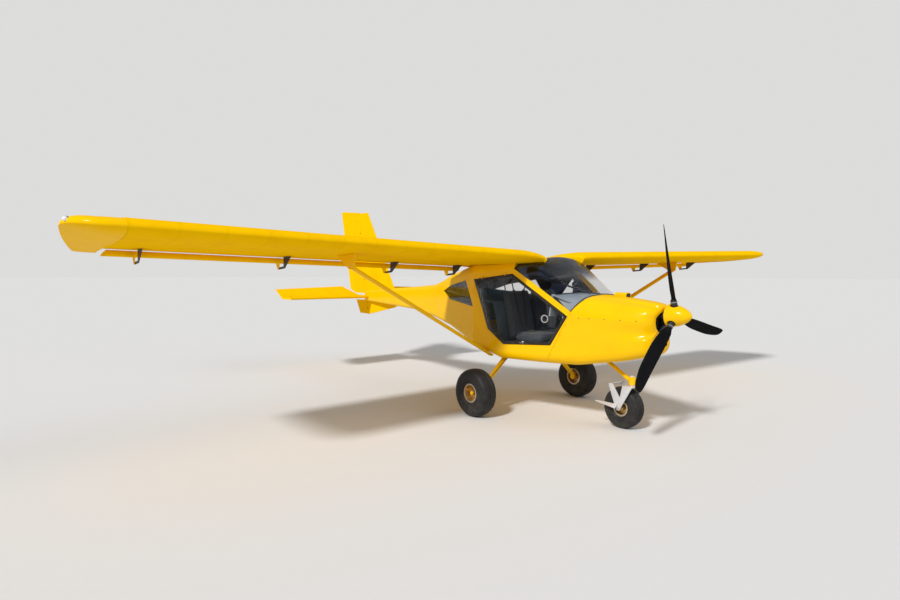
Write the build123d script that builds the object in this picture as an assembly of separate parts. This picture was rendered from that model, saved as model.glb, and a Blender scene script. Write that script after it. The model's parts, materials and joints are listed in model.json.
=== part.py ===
# A two-seat high-wing microlight aircraft with a tricycle undercarriage, standing on its wheels.
#
# Millimetres. +X points forward, +Y to port and +Z up. The origin is on the ground, halfway
# along the aircraft and on its centre line. A station is a distance aft of the spinner's tip.

from build123d import *
from math import cos, radians, sin, sqrt, tan
import os

os.makedirs("parts", exist_ok=True)

# Driving sizes of the whole aircraft
LENGTH = 6484.0
PROP_AXIS_Z = 1146.0
FIT = 6.0  # gap round a door or a control surface
RUNNING = 0.1  # radial play of a hinge pin or an axle
SEAT_GAP = 0.3  # gap under a soft piece
PIN = 4.0  # radius of a control surface's hinge pin
LUG = 9.0  # radius of a control surface's hinge lug
LUG_THICK = 6.0

# Fuselage walls
SKIN = 12.0
BOOM_SKIN = 6.0
COWL_SKIN = 8.0
FIREWALL = 8.0
FIREWALL_STATION = 1000.0
GLASS = 5.0

# Wheels and undercarriage
MAIN_STATION = 1972.0
MAIN_TRACK_HALF = 841.0
MAIN_RADIUS = 255.0
MAIN_WIDTH = 206.0
NOSE_STATION = 698.0
NOSE_RADIUS = 207.0
NOSE_WIDTH = 150.0
RIM_RADIUS_MAIN = 96.0
RIM_RADIUS_NOSE = 78.0
AXLE_RADIUS = 12.0

# Nose leg: the steering axis is upright, ahead of the axle
STEER_STATION = 606.0
NOSE_LEG_RADIUS = 20.0
SLEEVE_RADIUS = 33.0
STEER_PIN = 15.0
CROWN_LOW = 2 * NOSE_RADIUS + 16.0
CROWN_HIGH = CROWN_LOW + 10.0
CROWN_STATIONS = (536.0, 648.0)
SLEEVE_LOW = CROWN_HIGH + 0.3
SLEEVE_HIGH = SLEEVE_LOW + 79.7
PIN_HEAD = 9.0  # how far the steering pin's head stands out past the pin
FORK_HALF = NOSE_WIDTH / 2 + 22.0  # inside half width of the fork
FORK_PLATE = 5.0
FORK_BAR = (792.0, CROWN_HIGH - 4.0, 8.0)  # station, height and radius of the rear cross bar
TOW_PIN = 8.0  # how far the nose axle stands out past the fork
NOSE_LEG_SLOPE = 0.587
HUB_WIDTH = 90.0
HUB_WALL = 16.0
RIM_WALL = 6.0
WEB_THICK = 12.0

# Main legs, from the fuselage floor to the axle
MAIN_LEG_ROOT = (338.0, 652.0)  # Y and Z, inside the floor
MAIN_LEG_TIP = (MAIN_TRACK_HALF - 89.0, MAIN_RADIUS + 27.0)
MAIN_LEG_WIDTH = 70.0
MAIN_LEG_THICK = 22.0

# Wing, measured along its chord and above it from the leading edge
WING_LE_STATION = 1505.0
WING_Z = 1690.0
WING_CHORD = 1110.0
WING_UP = 94.0
WING_DOWN = 45.0
WING_EDGE = 4.0  # half thickness of the trailing edge
WING_SWEEP = 2.6  # forward, in degrees
WING_DIHEDRAL = 1.6
WING_INCIDENCE = 4.2
WING_ROOT_Y = 300.0
WING_FULL_Y = 580.0  # from here to the root the wing thins to a low rounded end
ROOT_NOSE = -35.0
ROOT_UP = 42.0
WING_CAP_Y = 4250.0
TIP_LENGTH = 330.0
TIP_DROOP = 45.0  # drop of the wing tip's rear corner

# Flaperon, hung below and behind the wing on brackets
FLAP_FRONT = WING_CHORD - 32.0
FLAP_CHORD = 255.0
FLAP_DROP = 58.0
FLAP_THICK = 34.0
FLAP_INNER_Y = 604.0
FLAP_OUTER_Y = WING_CAP_Y - 35.0
FLAP_HINGE = (WING_CHORD + 40.0, -115.0)
BRACKET_Y = [730.0, 1600.0, 2790.0, WING_CAP_Y - 250.0]
BRACKET_THICK = 5.0

# Bracket and lug outlines, along the chord and above it from the flaperon's hinge line
BRACKET_ARM = [(-270, 135), (-120, 135), (-108, 12), (8, 10), (13, 0), (8, -10), (-132, -9), (-270, 85)]
BRACKET_LUG = [(-38, 49), (46, 53), (12, -10), (-12, -10)]

# Strut, from the fuselage's lower edge to the wing's underside
STRUT_LOW = (2092.0, 570.0, 654.0)  # station, Y and Z
STRUT_HIGH = (308.0, -161.0, 2490.0)  # along the chord, above it and along the span
STRUT_CHORD = 78.0
STRUT_THICK = 32.0
FAIRING = [(225, -20), (590, -20), (350, -170), (270, -170)]  # plate between strut and wing
FAIRING_THICK = 14.0

# Fin and rudder. The hinge line leans aft by HINGE_LEAN for each unit of height
HINGE_FOOT = (LENGTH - 884.0, 862.0)
HINGE_LEAN = 0.175
HINGE_GAP = 24.0  # from the hinge line to the fin's rear edge
FIN_LEAN = 0.647
FIN_FOOT = (LENGTH - 1713.0, 1200.0)
FIN_TOP = 2506.0
FIN_HALF = 20.0
LOWER_FIN_HALF = 14.0
LOWER_FIN_NOSE = [(LENGTH - 1794, 1062), (LENGTH - 1670, 1006)]
RUDDER_NOSE = 17.0
RUDDER_CHORD = 640.0
RUDDER_UPPER = [
    (LENGTH - 844, 1200), (LENGTH - 464, 1200), (LENGTH - 301, 1263),
    (LENGTH, 2560), (LENGTH - 29, 2578), (LENGTH - 604, 2522),
]
RUDDER_LOWER = [(LENGTH - 904, 866), (LENGTH - 634, 870), (LENGTH - 504, 1085), (LENGTH - 864, 1090)]
RUDDER_TUBE = (880.0, 2500.0)  # heights of both ends of the tube on the hinge line
RUDDER_HINGES = [960.0, 1420.0, 2180.0]
TIE_DOWN = (LENGTH - 1004.0, 905.0, 9.0)  # station, height and radius of the hole in the lower fin

# Tailplane and elevator
STERN = HINGE_FOOT[0]
TAIL_Z = 1150.0
TAIL_ROOT_Y = 72.0
TAIL_TIP_Y = 1425.0
TAIL_LE_ROOT = LENGTH - 1034.0
TAIL_LE_TIP = LENGTH - 1100.0
TAIL_HALF = 22.0
HINGE_ELEVATOR = LENGTH - 734.0
ELEVATOR_TUBE = 14.0
ELEVATOR_NOSE = 20.0
ELEVATOR_CHORD = (375.0, 292.0)  # at its root and its tip
ELEVATOR_NOTCH = (92.0, 236.0)  # half width of the gap for the rudder, in front and behind
ELEVATOR_HINGES = [250.0, 760.0, 1270.0]
ELEVATOR_UP = 25.0  # parked with the stick held back, in degrees

# Propeller
PROP_RADIUS = 858.0
PROP_STATION = 160.0
PROP_PHASE = 15.5  # the upper blade leans to starboard, in degrees
SPINNER_LENGTH = 220.0
SPINNER_RADIUS = 106.0
SPINNER_WALL = 3.0
HUB_FRONT = 88.0
HUB_RADIUS = 62.0
SHAFT_RADIUS = 28.0
BLADE_ROOT = 24.0

# Blade sections. Columns: radius, chord, thickness, pitch in degrees, sweep of the middle
BLADE = [
    (100, 50, 40, 52, 0),
    (215, 98, 22, 42, 5),
    (400, 130, 16, 30, 12),
    (PROP_RADIUS - 238, 124, 11, 22, 9),
    (PROP_RADIUS - 78, 92, 8, 18, -5),
    (PROP_RADIUS, 44, 5, 16, -22),
]

# Engine, a block of the size of a flat four with its gearbox
ENGINE = (430.0, 815.0, 330.0, 890.0, 1185.0)  # front and rear stations, width, low and high Z
MOUNT_TUBE = 11.0

# Openings in the cowl's front: height and radius of the round one, half width and heights of the other
INTAKE = (1090.0, 95.0)
LOWER_INTAKE = (105.0, 845.0, 919.0)

# Cabin. Its flat sides draw in towards the nose; SIDE is the half width at their widest station
SIDE = 632.0
WIDEST = 2262.0
TOE = 0.215  # change of the half width for each unit of station
PILLAR_LOW = (1082.0, 1118.0)  # station and height of each end of the screen pillar
PILLAR_HIGH = (1730.0, 1546.0)
PILLAR_WIDTH = 56.0
DOOR_FRAME = 26.0
DOOR_THICK = 22.0
DOOR_ROOM = 10.0  # gap between a door and what is inside the cabin
DOOR_HINGES = [0.2, 0.8]  # shares of the top edge
KNUCKLE = 5.0
KNUCKLE_LENGTH = 26.0
LEAF_THICK = 6.0
DOOR_PIN = 2.5
DOOR_PLAY = 0.3
SEAM_TOP = (950.0, 1315.0)  # the seam behind the cowl: its station and height, from the top down
SEAM_HIGH = (1072.0, 1150.0)
SEAM_LOW = (1349.0, 618.0)
COWL_SPLIT_Z = 1080.0

# Seats, side by side. SEAT_BACK_FOOT is the station and height of the backs' front lower edge
SEAT_FRONT = 1425.0
SEAT_TOP = 792.0
SEAT_BASE_WALL = 10.0
SEAT_CUSHION = 90.0
SEAT_WIDTH = 390.0
SEAT_Y = 222.0
SEAT_BACK_FOOT = (1832.0, 814.0)
SEAT_BACK_THICK = 80.0
SEAT_BACK_HEIGHT = 560.0
SEAT_TILT = 14.0

RAIL_WIDTH = 34.0
RAIL_HEIGHT = 40.0
RAIL_FRONT = (1590.0, 1666.0)
TUBE = 13.0
FRONT_TUBE = (1600.0, 1616.0)  # station and height of each cross tube
REAR_TUBE = (2430.0, 1556.0)

# Roof glass between the wing roots. Columns: station, height of the sides and of the middle
ROOF = [(PILLAR_HIGH[0], 1659, 1699), (2100, 1640, 1678), (2790, 1540, 1556)]
ROOF_HALF = 294.0

# Windscreen, its sides on the pillars. Columns: station, shoulder half width and height, height of
# the middle. SCREEN_FOOT is the section at its foot, with the lower half width and height as well
SCREEN_FOOT = (960, 335, 1190, 243, 1286, 1320)
SCREEN = [
    (1072, 280, 1343, 1410),
    (1240, 300, 1462, 1525),
    (1400, 300, 1581, 1632),
    (1560, ROOF_HALF, 1672, 1710),
    (PILLAR_HIGH[0], ROOF_HALF, 1659, 1699),
]

# Whip antenna on the roof: station and height of its foot and its tip
ANTENNA = [(2080.0, 1679.0), (2455.0, 2113.0)]
ANTENNA_RADIUS = 3.0

# Door outline, station and height of each corner, from the top rear corner round by the front
DOOR = [(2245, 1458), (1751, 1520), (1116, 1099), (1297, 801), (1859, 769), (2059, 924), (2128, 1135)]
REAR_WINDOW = [(3063, 1313), (2827, 1389), (2442, 1449), (2262, 1155), (2874, 1213)]
CABIN_END = 3120.0


def side_half(station):
    """Half width of the flat cabin sides at a station."""
    return SIDE - TOE * (WIDEST - station)


# Fuselage sections. Columns: station, half width, bottom, eave, top, shoulder half width,
# shoulder drop below the top, radius of the lower corner
SECTIONS = [
    (300, 185, 785, 1080, 1243, 90, 20, 65),
    (360, 215, 758, 1070, 1257, 110, 24, 85),
    (460, 245, 728, 1070, 1273, 140, 28, 100),
    (620, side_half(620), 684, 1080, 1293, 180, 32, 110),
    (868, side_half(868), 640, 1110, 1312, 225, 33, 110),
    (1072, side_half(1072), 609, 1130, 1316, 262, 33, 110),
    (1182, side_half(1182), 604, 1330, 1490, 300, 34, 105),
    (1500, side_half(1500), 600, 1540, 1700, side_half(1500) - 35, 14, 90),
    (1930, side_half(1930), 601, 1545, 1662, side_half(1930) - 35, 12, 85),
    (WIDEST, SIDE, 718, 1520, 1640, SIDE - 35, 12, 75),
    (2900, 470, 885, 1450, 1522, 400, 10, 60),
    (CABIN_END, 414, 917, 1385, 1452, 345, 8, 56),
    (3420, 322, 958, 1330, 1384, 262, 6, 50),
    (4000, 232, 1024, 1290, 1345, 176, 6, 40),
    (STERN, 74, 1086, 1215, 1252, 44, 4, 24),
]


def x_of(station):
    """The X of a station."""
    return LENGTH / 2 - station


def save(shape, name):
    export_step(shape, f"parts/{name}.step")


def turned(shape, axis_point, direction, angle):
    """A shape turned about an axis, by the right-hand rule."""
    return shape.rotate(Axis(axis_point, direction), angle)


def port_and_starboard(shape, name):
    """Writes a port piece and its mirror image to starboard."""
    save(shape, f"{name}_left")
    save(mirror(shape, about=Plane.XZ), f"{name}_right")


def prism_xz(corners, y_low, y_high):
    """A plate whose outline is a list of stations and heights, between two Y planes."""
    outline = Polyline(*[(x_of(s), 0, z) for s, z in corners], close=True)
    plate = extrude(make_face(outline), amount=y_high - y_low, dir=(0, 1, 0))
    return Pos(0, y_low, 0) * plate


def offset_corners(corners, amount):
    """The corners of a convex outline moved out by an amount, or in if it is negative."""
    middle = (sum(c[0] for c in corners) / len(corners), sum(c[1] for c in corners) / len(corners))
    moved = []
    count = len(corners)
    for i in range(count):
        before, here, after = corners[i - 1], corners[i], corners[(i + 1) % count]
        lines = []
        for start, end in ((before, here), (here, after)):
            along = (end[0] - start[0], end[1] - start[1])
            size = sqrt(along[0] ** 2 + along[1] ** 2)
            normal = (along[1] / size, -along[0] / size)
            to_middle = (middle[0] - start[0], middle[1] - start[1])
            if normal[0] * to_middle[0] + normal[1] * to_middle[1] > 0:
                normal = (-normal[0], -normal[1])
            lines.append((normal, normal[0] * here[0] + normal[1] * here[1] + amount))
        (n1, d1), (n2, d2) = lines
        det = n1[0] * n2[1] - n1[1] * n2[0]
        moved.append(((d1 * n2[1] - d2 * n1[1]) / det, (n1[0] * d2 - n2[0] * d1) / det))
    return moved


def section_face(section, inset):
    """One fuselage section as a face, set in by a wall."""
    station, half, low, eave, top, shoulder, drop, radius = section
    half, shoulder = half - inset, max(shoulder - inset / 2, 10)
    low, top = low + inset, top - inset
    radius = max(radius - inset, 5)
    x = x_of(station)
    rise = top - drop - eave
    corner = (half - (half - shoulder) * 0.27, eave + rise * 0.62)

    def at(y, z):
        return Vector(x, y, z)

    diagonal = radius * (1 - sqrt(0.5))
    edges = [
        Line(at(-half + radius, low), at(half - radius, low)),
        ThreePointArc(at(half - radius, low), at(half - diagonal, low + diagonal), at(half, low + radius)),
        Line(at(half, low + radius), at(half, eave)),
        ThreePointArc(at(half, eave), at(*corner), at(shoulder, top - drop)),
        ThreePointArc(at(shoulder, top - drop), at(0, top), at(-shoulder, top - drop)),
        ThreePointArc(at(-shoulder, top - drop), at(-corner[0], corner[1]), at(-half, eave)),
        Line(at(-half, eave), at(-half, low + radius)),
        ThreePointArc(at(-half, low + radius), at(-half + diagonal, low + diagonal), at(-half + radius, low)),
    ]
    return make_face(Wire(edges))


def hull(first, last, inset):
    """The fuselage between two stations of the table, set in by a wall."""
    faces = [section_face(s, inset) for s in SECTIONS if first <= s[0] <= last]
    return loft(faces, ruled=True)


def ahead_of_seam(behind=0):
    """The space forward of the seam behind the cowl, which slants aft on its way down."""
    slope = (SEAM_LOW[0] - SEAM_HIGH[0]) / (SEAM_HIGH[1] - SEAM_LOW[1])
    foot = SEAM_HIGH[0] + slope * (SEAM_HIGH[1] - 300)
    corners = [(SEAM_TOP[0], 1900), (100, 1900), (100, 300), (foot, 300), SEAM_HIGH, SEAM_TOP]
    return prism_xz([(s + behind, z) for s, z in corners], -900, 900)


def side_plane():
    """The port cabin side: x runs aft along it, y up and z outwards."""
    return Plane(origin=(x_of(WIDEST), SIDE, 0), x_dir=(-1, TOE, 0), z_dir=(TOE, 1, 0))


def side_plate(corners, inner, outer):
    """A plate parallel to the port cabin side, given by stations and heights of its corners."""
    stretch = sqrt(1 + TOE ** 2)
    outline = Polyline(*[((s - WIDEST) * stretch, z) for s, z in corners], close=True)
    face = side_plane() * (Pos(0, 0, inner) * make_face(outline))
    return extrude(face, amount=outer - inner, dir=side_plane().z_dir)


def cabin_room(margin):
    """The space between the cabin sides, less a margin, at any height."""
    plan = [(SEAM_TOP[0], side_half(SEAM_TOP[0])), (WIDEST, SIDE)]
    plan += [(row[0], row[1]) for row in SECTIONS if WIDEST < row[0] <= CABIN_END]
    port = [(x_of(s), half - margin, 0) for s, half in plan]
    starboard = [(x, -y, 0) for x, y, z in reversed(port)]
    return extrude(make_face(Polyline(*port, *starboard, close=True)), amount=2000, dir=(0, 0, 1))


def cylinder_along(start, end, radius):
    """A round bar between two points."""
    a, b = Vector(*start), Vector(*end)
    plane = Plane(origin=a, z_dir=(b - a).normalized())
    return extrude(plane * Circle(radius), amount=(b - a).length)


def wing_point(chord, up, y):
    """A point of the port wing, given along its chord, above it and along its span."""
    tilt = radians(WING_INCIDENCE)
    station = WING_LE_STATION - y * tan(radians(WING_SWEEP)) + chord * cos(tilt) + up * sin(tilt)
    height = WING_Z + y * tan(radians(WING_DIHEDRAL)) - chord * sin(tilt) + up * cos(tilt)
    return Vector(x_of(station), y, height)


def wing_face(y, front, rear, up, down, lift=0, droop=0):
    """One rib outline of the wing, between two places along the chord."""
    size = rear - front

    def at(share, height):
        return wing_point(front + share * size, lift + height, y)

    low_front, high_front = at(0.09, -down * 0.94), at(0.12, up * 0.86)
    rear_high, rear_low = at(1, WING_EDGE - droop), at(1, -WING_EDGE - droop)
    edges = [
        ThreePointArc(low_front, at(0, up * 0.22), high_front),
        ThreePointArc(high_front, at(0.36, up), rear_high),
        Line(rear_high, rear_low),
        ThreePointArc(rear_low, at(0.42, -down), low_front),
    ]
    return make_face(Wire(edges))


def wing_plate(corners, y, thick):
    """A flat plate across the span, its outline given along the chord and above it."""
    outline = Polyline(*[wing_point(c, h, y) for c, h in corners], close=True)
    return extrude(make_face(outline), amount=thick, dir=(0, 1, 0))


def span_direction():
    """Direction of the wing's span to port."""
    return (wing_point(0, 0, 1000) - wing_point(0, 0, 0)).normalized()


def make_wings():
    """Wings, tips, flaperons and their brackets. Gives back both wings as one shape."""
    root = wing_face(WING_ROOT_Y, ROOT_NOSE, WING_CHORD, ROOT_UP, WING_DOWN * 0.8, -12)
    full = wing_face(WING_FULL_Y, 0, WING_CHORD, WING_UP, WING_DOWN)
    cap = wing_face(WING_CAP_Y, 0, WING_CHORD, WING_UP, WING_DOWN)
    wing = loft([root, full], ruled=True) + loft([full, cap], ruled=True)
    port_and_starboard(wing, "wing")

    rear = FLAP_FRONT + FLAP_CHORD
    tip = loft([
        wing_face(WING_CAP_Y, 0, rear, WING_UP, WING_DOWN, 0, TIP_DROOP),
        wing_face(WING_CAP_Y + TIP_LENGTH * 0.45, 55, rear, WING_UP * 0.8, WING_DOWN * 0.5, 16, TIP_DROOP),
        wing_face(
            WING_CAP_Y + TIP_LENGTH * 0.8, 165, rear * 0.7, WING_UP * 0.4, WING_DOWN * 0.4, 42, TIP_DROOP / 2
        ),
        wing_face(WING_CAP_Y + TIP_LENGTH, 300, rear * 0.4, 12, 8, 60, 0),
    ], ruled=True)
    port_and_starboard(tip, "wing_tip")

    flaperon = loft([flap_face(FLAP_INNER_Y), flap_face(FLAP_OUTER_Y)], ruled=True)
    brackets = Part()
    arm_outline, lug_outline = [
        [(FLAP_HINGE[0] + c, FLAP_HINGE[1] + h) for c, h in outline] for outline in (BRACKET_ARM, BRACKET_LUG)
    ]
    for y in BRACKET_Y:
        pin = hinge_pin(y, PIN, 3 * BRACKET_THICK)
        arm = wing_plate(arm_outline, y - BRACKET_THICK / 2, BRACKET_THICK)
        brackets += arm - wing - hinge_pin(y, PIN + RUNNING, 3 * BRACKET_THICK)
        flaperon += wing_plate(lug_outline, y + BRACKET_THICK, BRACKET_THICK) + pin
    port_and_starboard(flaperon, "flaperon")
    port_and_starboard(brackets, "flaperon_brackets")
    return wing + mirror(wing, about=Plane.XZ)


def hinge_pin(y, radius, length):
    """A round bar on the flaperon's hinge line, centred at a span station."""
    middle = wing_point(*FLAP_HINGE, y)
    reach = span_direction() * (length / 2)
    return cylinder_along(middle - reach, middle + reach + span_direction() * BRACKET_THICK, radius)


def flap_face(y):
    """One outline of the flaperon."""
    front, rear, half = FLAP_FRONT, FLAP_FRONT + FLAP_CHORD, FLAP_THICK / 2

    def at(chord, height):
        return wing_point(chord, height - FLAP_DROP, y)

    low_front, high_front = at(front + 22, 2 - half), at(front + 30, half)
    edges = [
        ThreePointArc(low_front, at(front, 0), high_front),
        ThreePointArc(high_front, at(front + 110, half), at(rear, 8)),
        Line(at(rear, 8), at(rear, 4)),
        Line(at(rear, 4), low_front),
    ]
    return make_face(Wire(edges))


def make_struts(wings):
    """One strut a side, from the fuselage's lower corner to a plate under the wing."""
    low = Vector(x_of(STRUT_LOW[0]), *STRUT_LOW[1:])
    high = wing_point(*STRUT_HIGH)
    along = (high - low).normalized()
    plane = Plane(origin=low - along * STRUT_CHORD, x_dir=(1, 0, 0), z_dir=along)
    profile = Ellipse(STRUT_CHORD / 2, STRUT_THICK / 2)
    strut = extrude(plane * profile, amount=(high - low).length + STRUT_CHORD)
    strut += wing_plate(FAIRING, STRUT_HIGH[2] - FAIRING_THICK / 2, FAIRING_THICK)
    strut = strut - hull(1500, CABIN_END, 0) - wings
    port_and_starboard(strut.solids().sort_by(SortBy.VOLUME)[-1], "strut")


def door_hinge_point(share):
    """A point of the port door's hinge line, by its share of the way from front to rear."""
    rear, front = DOOR[0], DOOR[1]
    station = front[0] + (rear[0] - front[0]) * share
    height = front[1] + (rear[1] - front[1]) * share + FIT / 2
    return Vector(x_of(station), side_half(station), height) + side_plane().z_dir * (KNUCKLE + 1)


def door_hinge_plane(share):
    """A plane on the port door's hinge line: x runs aft along it and y points outwards."""
    along = (door_hinge_point(1) - door_hinge_point(0)).normalized()
    return Plane(origin=door_hinge_point(share), x_dir=along, z_dir=along.cross(side_plane().z_dir))


def door_hinges(moving):
    """The port door's hinge leaves: those of the door, or those of the shell with the pins."""
    parts = Part()
    reach = KNUCKLE_LENGTH / 2 + SEAT_GAP
    for share in DOOR_HINGES:
        plane = door_hinge_plane(share)
        up = -1 if plane.z_dir.Z > 0 else 1
        up, shift = (up, reach) if moving else (-up, -reach)
        knuckle = Pos(shift, 0, 0) * Rot(0, 90, 0) * Cylinder(KNUCKLE, KNUCKLE_LENGTH)
        leaf = Pos(shift, -KNUCKLE - 1, up * 15.5) * Box(KNUCKLE_LENGTH, LEAF_THICK, 25)
        pin = Rot(0, 90, 0) * Cylinder(DOOR_PIN, 2 * KNUCKLE_LENGTH)
        bore = Rot(0, 90, 0) * Cylinder(DOOR_PIN + DOOR_PLAY, 3 * KNUCKLE_LENGTH)
        part = knuckle + leaf - bore if moving else knuckle + leaf + pin
        parts += plane * part
    return parts


def make_doors():
    """Framed glass doors, hinged along their top edge."""
    opening = offset_corners(DOOR, -DOOR_FRAME)
    outer = side_plate(DOOR, -DOOR_THICK, 0)
    inner = side_plate(opening, -2 * DOOR_THICK, DOOR_THICK)
    glass = side_plate(opening, (-DOOR_THICK - GLASS) / 2, (-DOOR_THICK + GLASS) / 2)
    port_and_starboard(outer - inner + door_hinges(True), "door_frame")
    port_and_starboard(glass, "door_glass")


def hinge_station(height):
    """Station of the rudder's hinge line at a height."""
    return HINGE_FOOT[0] + HINGE_LEAN * (height - HINGE_FOOT[1])


def fin_face(front, rear, height):
    """A fin section: a round nose and flat sides that widen to the rear edge."""
    nose = FIN_HALF * 0.35
    x_front, x_rear = x_of(front), x_of(rear)
    edges = [
        ThreePointArc((x_front - nose, nose, height), (x_front, 0, height), (x_front - nose, -nose, height)),
        Line((x_front - nose, -nose, height), (x_rear, -FIN_HALF, height)),
        Line((x_rear, -FIN_HALF, height), (x_rear, FIN_HALF, height)),
        Line((x_rear, FIN_HALF, height), (x_front - nose, nose, height)),
    ]
    return make_face(Wire(edges))


def rudder_face(height):
    """A rudder section: a nose round the hinge line, tapering to the trailing edge."""
    x, tail = x_of(hinge_station(height)), x_of(hinge_station(height) + RUDDER_CHORD)
    edges = [
        ThreePointArc((x, RUDDER_NOSE, height), (x + RUDDER_NOSE, 0, height), (x, -RUDDER_NOSE, height)),
        Line((x, -RUDDER_NOSE, height), (tail, -2, height)),
        Line((tail, -2, height), (tail, 2, height)),
        Line((tail, 2, height), (x, RUDDER_NOSE, height)),
    ]
    return make_face(Wire(edges))


def surface_hinge(plane, nose, reach):
    """Lug, slot and pin of a hinge. The plane's z is the hinge line and its x leads to the carrier."""
    bar = Pos(reach / 2, 0, 0) * Box(reach, 2 * LUG * 0.8, LUG_THICK)
    lug = Cylinder(LUG, LUG_THICK) + bar - Cylinder(PIN + RUNNING, 3 * LUG_THICK)
    slot = Cylinder(nose + 5, LUG_THICK + 2 * FIT)
    pin = Cylinder(PIN, LUG_THICK + 3 * FIT)
    return plane * lug, plane * slot, plane * pin


def make_tail():
    """Fins, rudder, tailplane and elevator."""
    body = hull(CABIN_END, STERN, 0)
    low, high = FIN_FOOT[1] - 90, FIN_TOP
    slant = FIN_LEAN
    faces = []
    for height in (low, high):
        front = FIN_FOOT[0] + slant * (height - FIN_FOOT[1])
        faces.append(fin_face(front, hinge_station(height) - HINGE_GAP, height))
    fin = loft(faces, ruled=True) - body
    fin = fin.solids().sort_by(SortBy.VOLUME)[-1]

    rear_low, rear_high = hinge_station(HINGE_FOOT[1]) - HINGE_GAP, hinge_station(low) - HINGE_GAP
    outline = LOWER_FIN_NOSE + [(rear_low, HINGE_FOOT[1]), (rear_high, low), (LENGTH - 1724, low)]
    ventral = prism_xz(outline, -LOWER_FIN_HALF, LOWER_FIN_HALF) - body

    wedge = loft([rudder_face(830), rudder_face(2620)], ruled=True)
    blades = prism_xz(RUDDER_UPPER, -40, 40) + prism_xz(RUDDER_LOWER, -40, 40)
    rudder = wedge & blades
    foot, top = [(hinge_station(height), height) for height in RUDDER_TUBE]
    rudder += cylinder_along((x_of(foot[0]), 0, foot[1]), (x_of(top[0]), 0, top[1]), RUDDER_NOSE * 0.7)
    line = Vector(x_of(top[0]) - x_of(foot[0]), 0, top[1] - foot[1]).normalized()
    for height in RUDDER_HINGES:
        origin = Vector(x_of(hinge_station(height)), 0, height)
        plane = Plane(origin=origin, x_dir=Vector(0, 1, 0).cross(line), z_dir=line)
        lug, slot, pin = surface_hinge(plane, RUDDER_NOSE, HINGE_GAP + 2)
        rudder = rudder - slot + pin
        if height < low:
            ventral += lug
        else:
            fin += lug
    station, height, radius = TIE_DOWN
    ventral -= Pos(x_of(station), 0, height) * Rot(90, 0, 0) * Cylinder(radius, 200)
    save(fin, "fin")
    save(ventral, "ventral_fin")
    save(rudder, "rudder")
    make_tailplane(body)


def tail_face(y, front, rear, half):
    """A tailplane section with a round nose."""
    x_front, x_rear, nose = x_of(front), x_of(rear), half * 0.8
    x = x_front - 2 * nose
    edges = [
        ThreePointArc((x, y, TAIL_Z + nose), (x_front, y, TAIL_Z), (x, y, TAIL_Z - nose)),
        Line((x, y, TAIL_Z - nose), (x_rear, y, TAIL_Z - half)),
        Line((x_rear, y, TAIL_Z - half), (x_rear, y, TAIL_Z + half)),
        Line((x_rear, y, TAIL_Z + half), (x, y, TAIL_Z + nose)),
    ]
    return make_face(Wire(edges))


def elevator_face(y, chord):
    """An elevator section, its nose round the hinge line."""
    x, tail = x_of(HINGE_ELEVATOR), x_of(HINGE_ELEVATOR + chord)
    top, low = TAIL_Z + ELEVATOR_NOSE, TAIL_Z - ELEVATOR_NOSE
    edges = [
        ThreePointArc((x, y, top), (x + ELEVATOR_NOSE, y, TAIL_Z), (x, y, low)),
        Line((x, y, low), (tail, y, TAIL_Z - 2)),
        Line((tail, y, TAIL_Z - 2), (tail, y, TAIL_Z + 2)),
        Line((tail, y, TAIL_Z + 2), (x, y, top)),
    ]
    return make_face(Wire(edges))


def make_tailplane(body):
    """Two fixed halves, and one elevator whose halves share a torque tube."""
    rear = HINGE_ELEVATOR - ELEVATOR_NOSE - FIT - 2
    half = loft([
        tail_face(TAIL_ROOT_Y, TAIL_LE_ROOT, rear, TAIL_HALF),
        tail_face(TAIL_TIP_Y, TAIL_LE_TIP, rear, TAIL_HALF * 0.8),
    ], ruled=True) - body
    leaf = loft([
        elevator_face(ELEVATOR_NOTCH[0], ELEVATOR_CHORD[0]),
        elevator_face(TAIL_TIP_Y - 20, ELEVATOR_CHORD[1]),
    ], ruled=True)
    notch = Polyline(
        (x_of(HINGE_ELEVATOR), 0, 0), (x_of(HINGE_ELEVATOR), ELEVATOR_NOTCH[0], 0),
        (x_of(HINGE_ELEVATOR + 400), ELEVATOR_NOTCH[1], 0), (x_of(HINGE_ELEVATOR + 400), 0, 0), close=True,
    )
    leaf -= Pos(0, 0, TAIL_Z - 100) * extrude(make_face(notch), amount=200, dir=(0, 0, 1))
    for y in ELEVATOR_HINGES:
        plane = Plane(origin=(x_of(HINGE_ELEVATOR), y, TAIL_Z), x_dir=(1, 0, 0), z_dir=(0, 1, 0))
        lug, slot, pin = surface_hinge(plane, ELEVATOR_NOSE, ELEVATOR_NOSE + FIT + 4)
        leaf = leaf - slot + pin
        half += lug
    x, reach = x_of(HINGE_ELEVATOR), ELEVATOR_NOTCH[0] + 20
    tube = cylinder_along((x, -reach, TAIL_Z), (x, reach, TAIL_Z), ELEVATOR_TUBE)
    elevator = leaf + mirror(leaf, about=Plane.XZ) + tube
    elevator = turned(elevator, (x_of(HINGE_ELEVATOR), 0, TAIL_Z), (0, 1, 0), ELEVATOR_UP)
    port_and_starboard(half, "tailplane")
    save(elevator, "elevator")


def revolve_about_y(profile, origin):
    """A ring from a profile given as Y and radius, turned about a wheel's axis."""
    return Pos(*origin) * revolve(profile, axis=Axis.Y)


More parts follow.
